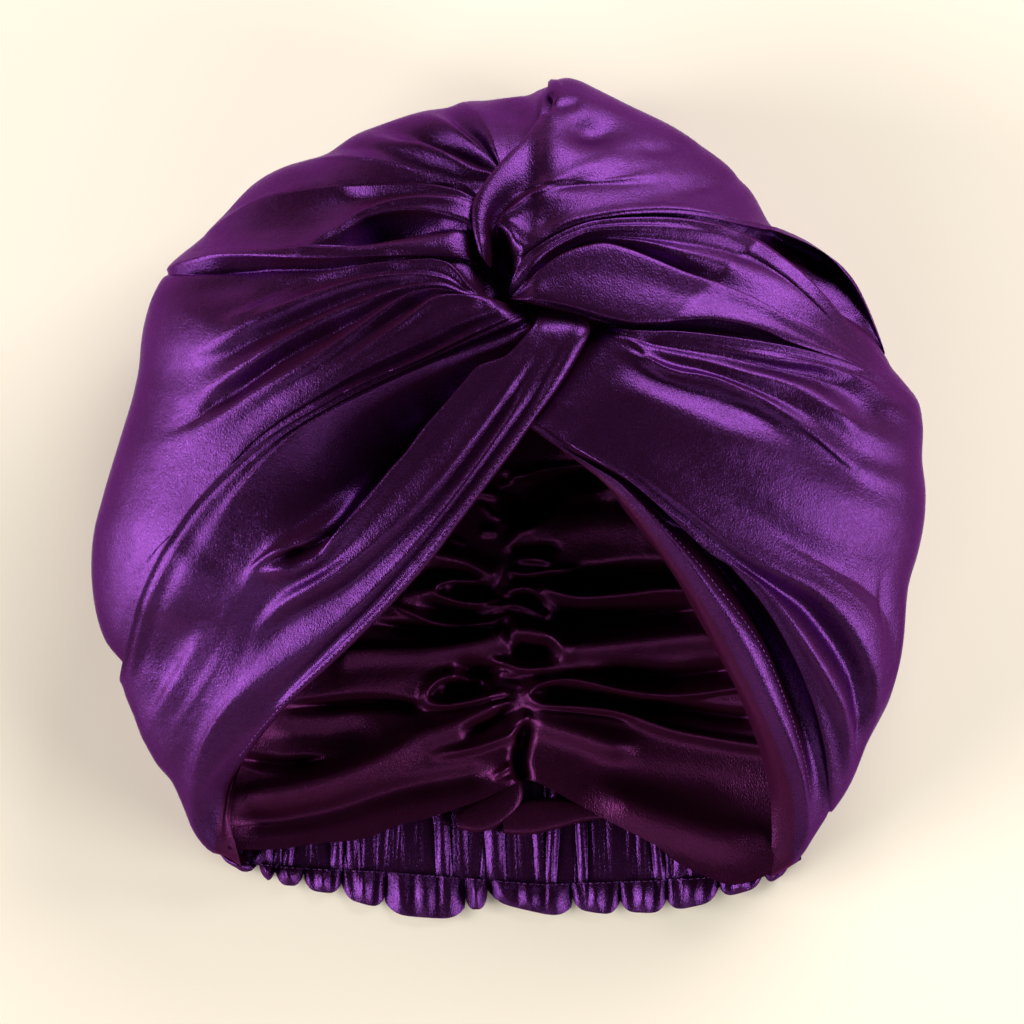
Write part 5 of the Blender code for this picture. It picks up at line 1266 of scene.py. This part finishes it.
def stroke_lift(x, y, strokes):
    """How much the small ridges and valleys raise each plan point."""
    total = np.zeros_like(x)
    for stroke in strokes:
        knots = np.linspace(0, 1, len(stroke.path))
        line = curve_at(knots, np.array(stroke.path, float), np.linspace(0, 1, 8 * len(stroke.path)))
        reach = 2.6 * stroke.width * (1 + abs(stroke.lean))
        near = (x > line[:, 0].min() - reach) & (x < line[:, 0].max() + reach)
        near &= (y > line[:, 1].min() - reach) & (y < line[:, 1].max() + reach)
        if not near.any():
            continue
        away, t, side = nearest_on(line, x[near], y[near])
        width = stroke.width * (1 - stroke.lean * side)
        fade = ease(t / stroke.fade) * ease((1 - t) / stroke.fade)
        total[near] += stroke.height * fade * np.exp(-((away / width) ** 2))
    return total


def dent_lift(x, y):
    """How much the soft ovals raise each plan point."""
    total = np.zeros_like(x)
    for dent in DENTS:
        turn = math.radians(dent.turn)
        dx = x - dent.x
        dy = y - dent.y
        along = (dx * math.cos(turn) + dy * math.sin(turn)) / dent.long
        across = (dy * math.cos(turn) - dx * math.sin(turn)) / dent.short
        total += dent.lift * np.exp(-(along**2) - across**2)
    return total


def underside(rim, side):
    """From each rim point down to the surface, and flat along it to the centre back seam or the nape."""
    down = np.clip((rim[:, 1] - EAR_START) / (CROWN_END - EAR_START), 0, 1)
    outward = np.clip((EAR_START - rim[:, 1]) / EAR_SPAN, 0, 1)
    end_y = BACK_END + (BACK_TOP - BACK_END) * down - BACK_LOW * outward**1.5
    lean = SEAM_BEND * np.clip((end_y - SEAM_BEND_START) / (BACK_TOP - SEAM_BEND_START), 0, 1) ** 2
    end_x = lean + side * (SEAM_GAP + outward * np.maximum(np.abs(rim[:, 0]) - EAR_INSET, 0))
    inward = np.stack([end_x - rim[:, 0], end_y - rim[:, 1]], axis=1)
    distance = np.linalg.norm(inward, axis=1, keepdims=True)
    inward = inward / distance
    room = np.minimum(rim[:, 2] * UNDER_SLOPE, distance[:, 0] * UNDER_ROOM)
    width = np.minimum(UNDER_WIDTH, room)[:, None]
    rows = []
    for turn in np.linspace(0, math.pi / 2, TURN_ROWS + 1)[1:]:
        bend = 1 - math.cos(turn) ** 0.9
        rise = 1 - math.sin(turn) ** 0.9
        plan = rim[:, :2] + inward * width * bend
        rows.append(np.concatenate([plan, rim[:, 2:] * rise], axis=1))
    contact = rim[:, :2] + inward * width
    for share in np.linspace(0, 1, UNDER_ROWS + 1)[1:]:
        plan = contact + (np.stack([end_x, end_y], axis=1) - contact) * share
        rows.append(np.concatenate([plan, np.zeros((len(rim), 1))], axis=1))
    return np.stack(rows, axis=1)


def add_sheet(name, grid, materials, flip=False, slots=None):
    """An open sheet of quads through a grid of points in millimetres."""
    rows, columns = grid.shape[:2]
    index = np.arange(rows * columns).reshape(rows, columns)
    corners = [index[:-1, :-1], index[1:, :-1], index[1:, 1:], index[:-1, 1:]]
    if flip:
        corners.reverse()
    faces = np.stack(corners, axis=-1).reshape(-1, 4)
    points = grid + np.array([*SHIFT, 0])
    mesh = bpy.data.meshes.new(name)
    mesh.from_pydata((points.reshape(-1, 3) * MM).tolist(), [], faces.tolist())
    for material in materials:
        mesh.materials.append(material)
    if slots is not None:
        mesh.polygons.foreach_set("material_index", slots.reshape(-1).astype(np.int32))
    mesh.shade_smooth()
    mesh.update()
    piece = bpy.data.objects.new(name, mesh)
    bpy.context.scene.collection.objects.link(piece)
    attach(piece, "root")
    return piece


def node_of(tree, kind, x, y, **settings):
    node = tree.nodes.new(kind)
    node.location = (x, y)
    for key, value in settings.items():
        if key in node.inputs:
            node.inputs[key].default_value = value
        else:
            setattr(node, key, value)
    return node


def satin(cloth):
    """Satin: a smooth sheen over a fine twill, with slow changes of depth and finish."""
    material = bpy.data.materials.new(cloth.name)
    material.use_nodes = True
    tree = material.node_tree
    link = tree.links.new
    shader = tree.nodes["Principled BSDF"]
    place = node_of(tree, "ShaderNodeTexCoord", -1400, 0)

    cloud = node_of(tree, "ShaderNodeTexNoise", -1000, 300, Scale=38.0, Detail=4.0, Roughness=0.55)
    link(place.outputs["Object"], cloud.inputs["Vector"])
    tone = node_of(tree, "ShaderNodeValToRGB", -760, 300)
    tone.color_ramp.elements[0].position = 0.3
    tone.color_ramp.elements[0].color = (*cloth.dark, 1)
    tone.color_ramp.elements[1].position = 0.75
    tone.color_ramp.elements[1].color = (*cloth.light, 1)
    link(cloud.outputs["Fac"], tone.inputs["Fac"])
    link(tone.outputs["Color"], shader.inputs["Base Color"])

    grain = node_of(tree, "ShaderNodeTexNoise", -1000, -40, Scale=1500.0, Detail=2.0, Roughness=0.6)
    link(place.outputs["Object"], grain.inputs["Vector"])
    finish = node_of(tree, "ShaderNodeMapRange", -760, -40)
    finish.inputs["From Min"].default_value = GRAIN_RANGE[0]
    finish.inputs["From Max"].default_value = GRAIN_RANGE[1]
    finish.inputs["To Min"].default_value = cloth.roughness + ROUGH_SPREAD[0]
    finish.inputs["To Max"].default_value = cloth.roughness + ROUGH_SPREAD[1]
    link(grain.outputs["Fac"], finish.inputs["Value"])
    link(finish.outputs["Result"], shader.inputs["Roughness"])

    turned = node_of(tree, "ShaderNodeMapping", -1200, -400)
    turned.inputs["Rotation"].default_value = (0.3, 0.2, 0.7)
    turned.inputs["Scale"].default_value = (1.0, 0.6, 1.0)
    link(place.outputs["Object"], turned.inputs["Vector"])
    twill = node_of(tree, "ShaderNodeTexNoise", -1000, -400, Scale=2100.0, Detail=2.0, Roughness=0.5)
    link(turned.outputs["Vector"], twill.inputs["Vector"])
    crumple = node_of(tree, "ShaderNodeTexNoise", -1000, -640, Scale=160.0, Detail=3.0, Roughness=0.5)
    link(place.outputs["Object"], crumple.inputs["Vector"])
    fine = node_of(tree, "ShaderNodeBump", -480, -360, Strength=1.0, Distance=0.00019)
    soft = node_of(tree, "ShaderNodeBump", -280, -460, Strength=0.30, Distance=0.0009)
    link(twill.outputs["Fac"], fine.inputs["Height"])
    link(crumple.outputs["Fac"], soft.inputs["Height"])
    link(fine.outputs["Normal"], soft.inputs["Normal"])
    link(soft.outputs["Normal"], shader.inputs["Normal"])

    shader.inputs["Metallic"].default_value = METALLIC
    shader.inputs["Specular Tint"].default_value = (*cloth.specular_tint, 1)
    shader.inputs["Sheen Weight"].default_value = SHEEN_WEIGHT
    shader.inputs["Sheen Roughness"].default_value = SHEEN_ROUGHNESS
    shader.inputs["Sheen Tint"].default_value = (*cloth.sheen_tint, 1)
    return material


def wrap_half(name, folds, strokes, side, outer, facing):
    """One outer half: from the twist over the side and under to the centre back seam."""
    share = np.linspace(0, 1, STATIONS)
    stations = 0.45 * share + 0.55 * np.sin(share * math.pi / 2)
    columns, starts = across_ribs(ribs_of(folds, stations, -side), COLUMN_SPAN)
    columns[..., 2] += stroke_lift(columns[..., 0], columns[..., 1], strokes)
    columns[..., 2] += dent_lift(columns[..., 0], columns[..., 1])
    top = raised(columns)
    grid = np.concatenate([top, underside(top[:, -1], side)], axis=1)
    grid[..., 2] = np.maximum(grid[..., 2], FLOOR_CLEAR)
    slots = np.zeros((grid.shape[0] - 1, grid.shape[1] - 1))
    slots[starts[-3] + 1 :] = 1
    return add_sheet(name, grid, [outer, facing], flip=side > 0, slots=slots)


def lining_height(x, y):
    """The lining's trough, low along the middle and rising to the sides, with its swags and loops."""
    share = np.clip(share_out(x, y), 0, 1)
    depth = np.clip((y - LINING_END) / 100, 0.15, 1)
    sides = LINING_RISE * depth * (np.abs(x) / LINING_HALF) ** 3
    trough = LINING_LOW + sides + LINING_RIM * np.clip(share - 0.5, 0, 1) ** 2
    near = np.exp(-(((x - column_at(SEAM, "x", y)) / SEAM_REACH) ** 2))
    puckers = SEAM_PUCKER * np.sin(y / 0.9 + 2.4 * np.sin(y / 5)) * np.sin(y / 7 + 0.6) ** 2
    return trough + stroke_lift(x, y, LINING_STROKES) + near * puckers


def lining_half(name, side, material):
    """One half of the lining, from deep under the twist down to its lower edge."""
    across, down = LINING_GRID
    out, down = np.meshgrid(np.linspace(0, 1, across), np.linspace(0, 1, down) ** 0.8, indexing="ij")
    edge = "left" if side < 0 else "right"
    y = LINING_TOP + (LINING_END - LINING_TOP) * down
    x = column_at(SEAM, "x", y) * (1 - out) + out * column_at(SIDES, edge, y)
    y = LINING_TOP + (column_at(LOWER_EDGE, "y", x, by="x") - LINING_TOP) * down
    x = column_at(SEAM, "x", y) * (1 - out) + out * column_at(SIDES, edge, y)
    return add_sheet(name, np.stack([x, y, lining_height(x, y)], axis=-1), [material], flip=side > 0)


def pleat_table():
    """The nape's uneven gathers: where each starts, how tall it is, and how far it leans."""
    draw = np.random.default_rng(PLEAT_SEED)
    edges = [NAPE[0].x - 4]
    while edges[-1] < NAPE[-1].x + 4:
        edges.append(edges[-1] + draw.uniform(*PLEAT_PITCH))
    count = len(edges)
    heights = draw.uniform(*PLEAT_HEIGHT, count) ** 2
    return np.array(edges), heights, draw.uniform(-PLEAT_LEAN, PLEAT_LEAN, count)


def pleat_wave(x, along, table, sharp=0.8):
    """0 in the creases and up to 1 on the gathers between them."""
    edges, heights, leans = table
    found = np.clip(np.searchsorted(edges, x, side="right") - 1, 0, len(edges) - 2)
    moved = x + leans[found] * (along - 0.5)
    found = np.clip(np.searchsorted(edges, moved, side="right") - 1, 0, len(edges) - 2)
    part = (moved - edges[found]) / (edges[found + 1] - edges[found])
    part = np.clip(part, 0, 1)
    return heights[found] * (1 - np.abs(2 * part - 1) ** sharp)


def nape_casing(material):
    """The channel over the elastic: upright gathers between the lining and the line of stitches."""
    across, down = CASING_GRID
    x, along = np.meshgrid(np.linspace(NAPE[0].x, NAPE[-1].x, across), np.linspace(0, 1, down), indexing="ij")
    top = column_at(NAPE, "top", x, by="x")
    stitch = column_at(NAPE, "stitch", x, by="x")
    table = pleat_table()
    wave = pleat_wave(x, along, table, CASING_SHARP)
    small = pleat_wave(x * 1.6 + 3, along, table, CASING_SMALL_SHARP)
    swell = np.sin(math.pi * (0.12 + 0.83 * along)) ** 0.7
    ends = ease((CASING_HALF - np.abs(x - CASING_MIDDLE)) / CASING_FADE)
    z = 1.0 + swell * (0.8 + (CASING_RISE * wave + CASING_SMALL * small) * (0.25 + 0.75 * ends))
    y = top + (stitch - top) * along
    grid = np.stack([x, y, z], axis=-1)
    return add_sheet("satin_casing", grid, [material], flip=True)


def flounce_at(x):
    """Which flounce each x is in, and how far across it, from 0 to 1."""
    ends = np.array([FLOUNCE_START] + [row.end for row in FLOUNCES])
    found = np.clip(np.searchsorted(ends, x, side="right") - 1, 0, len(FLOUNCES) - 1)
    return found, np.clip((x - ends[found]) / (ends[found + 1] - ends[found]), 0, 1)


def frill_grid():
    """The loose edge below the stitches: flounces that stand up in the middle and tuck in between."""
    across, down = FRILL_GRID
    x = np.linspace(FLOUNCE_START, FLOUNCES[-1].end, across)
    x, along = np.meshgrid(x, np.linspace(0, 1 + FRILL_TUCK, down), indexing="ij")
    stitch = column_at(NAPE, "stitch", x, by="x")
    found, part = flounce_at(x)
    left = np.array([row.left for row in FLOUNCES])[found]
    right = np.array([row.right for row in FLOUNCES])[found]
    puckers = np.array([row.puckers for row in FLOUNCES])[found]
    corner = np.abs(2 * part - 1)
    edge = left + (right - left) * part + FRILL_CORNER * corner**5
    out = np.clip(along, 0, 1)
    under = np.clip(along - 1, 0, 1) / FRILL_TUCK
    y = stitch + FRILL_GAP + (edge - stitch - FRILL_GAP) * out + 1.6 * under
    crest = (1 - corner**3) * (0.75 + 0.25 * np.cos(2 * math.pi * puckers * (part - 0.5)) * (1 - 0.5 * out))
    table = pleat_table()
    wave = pleat_wave(x, 1.0, table) * (1 - out) ** 1.5
    rise = np.sin(math.pi * np.clip(0.18 + 0.62 * out, 0, 1))
    z = 0.8 + FRILL_PUFF * crest * rise + FRILL_WAVE * wave * (0.3 + 0.7 * (1 - corner**4))
    z = np.where(along > 1, z * (1 - under) + 0.4 * under, z)
    side_pull = 1.4 * np.sin(2 * math.pi * part) * out * np.minimum(1, 8 / (np.abs(left) - 120))
    return np.stack([x + side_pull, y, np.maximum(z, FRILL_FLOOR)], axis=-1)


def twist_core(material):
    """The crossed cloth deep inside the twist, which closes it."""
    turn = np.linspace(-1, 1, CORE_GRID)
    u, v = np.meshgrid(turn, turn, indexing="ij")
    x = CORE_MIDDLE[0] + CORE_HALF[0] * u * np.sqrt(1 - v**2 / 2)
    y = CORE_MIDDLE[1] + CORE_HALF[1] * v * np.sqrt(1 - u**2 / 2)
    fold = 1.6 * np.sin(5 * (u + 0.6 * v)) + 0.8 * np.sin(9 * (v - 0.4 * u))
    z = dome_height(x, y) - CORE_DEPTH - CORE_CUP * (u**2 + v**2) + fold
    return add_sheet("satin_twist_core", np.stack([x, y, z], axis=-1), [material], flip=True)


def seam_tail(tail, material):
    """One flat tail of the seam's facing, with its two long edges turned down."""
    points = np.array(tail.path, float)
    lengths = np.linalg.norm(np.diff(points[:, :2], axis=0), axis=1)
    knots = np.concatenate([[0], np.cumsum(lengths)])
    line = curve_at(knots, points, np.linspace(0, knots[-1], TAIL_GRID[1]))
    along = np.gradient(line[:, :2], axis=0)
    along /= np.linalg.norm(along, axis=1, keepdims=True)
    across = np.stack([-along[:, 1], along[:, 0]], axis=1)
    rows = []
    for share in np.linspace(-1, 1, TAIL_GRID[0]):
        plan = line[:, :2] + across * line[:, 2:3] * share
        bend = tail.lift + TAIL_SWELL * (1 - share**2) - TAIL_TURN * np.abs(share) ** 9
        rows.append(np.concatenate([plan, np.full((len(plan), 1), bend)], axis=1))
    return add_sheet(f"seam_facing_{tail.name}", np.stack(rows, axis=0), [material])


def unit_ball():
    """Points and faces of a ball of radius 1, always in the same order, in rings from pole to pole."""
    around, down = STITCH_ROUND
    turn = np.linspace(0, 2 * math.pi, around, endpoint=False)
    points = [[0.0, 0.0, 1.0]]
    for fall in np.linspace(0, math.pi, down + 1)[1:-1]:
        wide = math.sin(fall)
        for angle in turn:
            points.append([math.cos(angle) * wide, math.sin(angle) * wide, math.cos(fall)])
    points.append([0.0, 0.0, -1.0])
    last = len(points) - 1
    faces = []
    for i in range(around):
        after = (i + 1) % around
        faces.append((0, 1 + i, 1 + after))
        for upper in range(1, last - around, around):
            lower = upper + around
            faces.append((upper + i, lower + i, lower + after, upper + after))
        faces.append((last, last - around + after, last - around + i))
    return np.array(points), faces


def thread(name, line, material):
    """Small stitches of thread, end to end along a line of points in millimetres."""
    run = np.concatenate([[0], np.cumsum(np.linalg.norm(np.diff(line, axis=0), axis=1))])
    places = np.arange(STITCH_PITCH / 2, run[-1] - STITCH_PITCH / 2, STITCH_PITCH)
    middles = curve_at(run, line, places)
    toward = curve_at(run, line, places + STITCH_AIM) - curve_at(run, line, places - STITCH_AIM)
    ball, ball_faces = unit_ball()
    points = []
    faces = []
    for middle, ahead in zip(middles, toward):
        turn = Vector(ahead).to_track_quat("Z", "Y").to_matrix().to_4x4()
        place = Matrix.Translation(Vector(middle + np.array([*SHIFT, 0])) * MM)
        size = Matrix.Diagonal((STITCH_THICK * MM, STITCH_THICK * MM, STITCH_LONG * MM, 1))
        whole = np.array(place @ turn @ size)
        faces += [tuple(corner + len(points) for corner in face) for face in ball_faces]
        points += (ball @ whole[:3, :3].T + whole[:3, 3]).tolist()
    mesh = bpy.data.meshes.new(name)
    mesh.from_pydata(points, [], faces)
    mesh.update()
    mesh.materials.append(material)
    mesh.shade_smooth()
    piece = bpy.data.objects.new(name, mesh)
    bpy.context.scene.collection.objects.link(piece)
    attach(piece, "root")


def hem_line(folds, name, strokes, first, last):
    """The points of one fold between two shares of its length, just above the cloth."""
    fold = next(row for row in folds if row.name == name)
    line = fold_path(fold.path, np.linspace(first, last, 400))
    line[:, 2] += stroke_lift(line[:, 0], line[:, 1], strokes) + HEM_STITCH_LIFT
    return raised(line)


def plain_material(name, colour, roughness):
    material = bpy.data.materials.new(name)
    material.use_nodes = True
    shader = material.node_tree.nodes["Principled BSDF"]
    shader.inputs["Base Color"].default_value = (*colour, 1)
    shader.inputs["Roughness"].default_value = roughness
    return material


def add_floor():
    mesh = bpy.data.meshes.new("floor")
    reach = FLOOR_REACH
    corners = [(-reach, -reach, 0), (reach, -reach, 0), (reach, reach, 0), (-reach, reach, 0)]
    mesh.from_pydata(corners, [], [(0, 1, 2, 3)])
    mesh.materials.append(plain_material("pale floor", FLOOR_COLOUR, 0.8))
    floor = bpy.data.objects.new("floor", mesh)
    bpy.context.scene.collection.objects.link(floor)


def add_light(lamp):
    data = bpy.data.lights.new(lamp.name, "AREA")
    data.shape = "RECTANGLE"
    data.size, data.size_y = lamp.size
    data.energy = lamp.power
    data.color = lamp.colour
    light = bpy.data.objects.new(lamp.name, data)
    light.location = lamp.place
    toward = [a - b for a, b in zip(lamp.aim, lamp.place)]
    light.rotation_euler = Vector(toward).to_track_quat("-Z", "Y").to_euler()
    bpy.context.scene.collection.objects.link(light)


def add_world():
    world = bpy.data.worlds.new("studio")
    world.use_nodes = True
    background = world.node_tree.nodes["Background"]
    background.inputs["Color"].default_value = WORLD_COLOUR
    background.inputs["Strength"].default_value = WORLD_STRENGTH
    bpy.context.scene.world = world
    bpy.context.scene.view_settings.view_transform = "Standard"


def add_camera():
    data = bpy.data.cameras.new("camera")
    data.sensor_width = SENSOR
    data.lens = SENSOR * (CAMERA_HEIGHT - VIEW_HEIGHT) / VIEW_WIDTH
    data.clip_end = 20
    camera = bpy.data.objects.new("camera", data)
    camera.location = (
        (PHOTO_MIDDLE[0] + SHIFT[0]) * MM,
        (PHOTO_MIDDLE[1] + SHIFT[1]) * MM,
        CAMERA_HEIGHT * MM,
    )
    bpy.context.scene.collection.objects.link(camera)
    bpy.context.scene.camera = camera


def main():
    add_camera()
    for lamp in LIGHTS:
        add_light(lamp)
    add_world()
    add_floor()
    outer = satin(OUTER_SATIN)
    inner = satin(INNER_SATIN)
    left = wrap_half("satin_wrap_left", LEFT_FOLDS, LEFT_STROKES, -1, outer, inner)
    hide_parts("wrap_left")
    right = wrap_half("satin_wrap_right", RIGHT_FOLDS, RIGHT_STROKES, 1, outer, inner)
    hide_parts("wrap_right")
    lining_left = lining_half("satin_lining_left", -1, inner)
    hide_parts("lining_left")
    lining_right = lining_half("satin_lining_right", 1, inner)
    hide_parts("lining_right")
    casing = nape_casing(outer)
    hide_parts("nape_casing")
    flounces = frill_grid()
    frill = add_sheet("satin_frill", flounces, [outer], flip=True)
    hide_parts("nape_frill")
    core = twist_core(outer)
    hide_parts("twist_core")
    for tail in TAILS:
        piece = seam_tail(tail, inner)
        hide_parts("seam_tab")
    cotton = satin(THREAD)
    thread("stitches_hem_left", hem_line(LEFT_FOLDS, "hem ridge", LEFT_STROKES, 0.1, 0.86), cotton)
    thread("stitches_hem_right", hem_line(RIGHT_FOLDS, "stitch valley", RIGHT_STROKES, 0.3, 0.93), cotton)
    nape_line = flounces[NAPE_STITCH_ENDS:-NAPE_STITCH_ENDS, 1] + np.array([0, 0, NAPE_STITCH_LIFT])
    thread("stitches_nape", nape_line, cotton)


main()
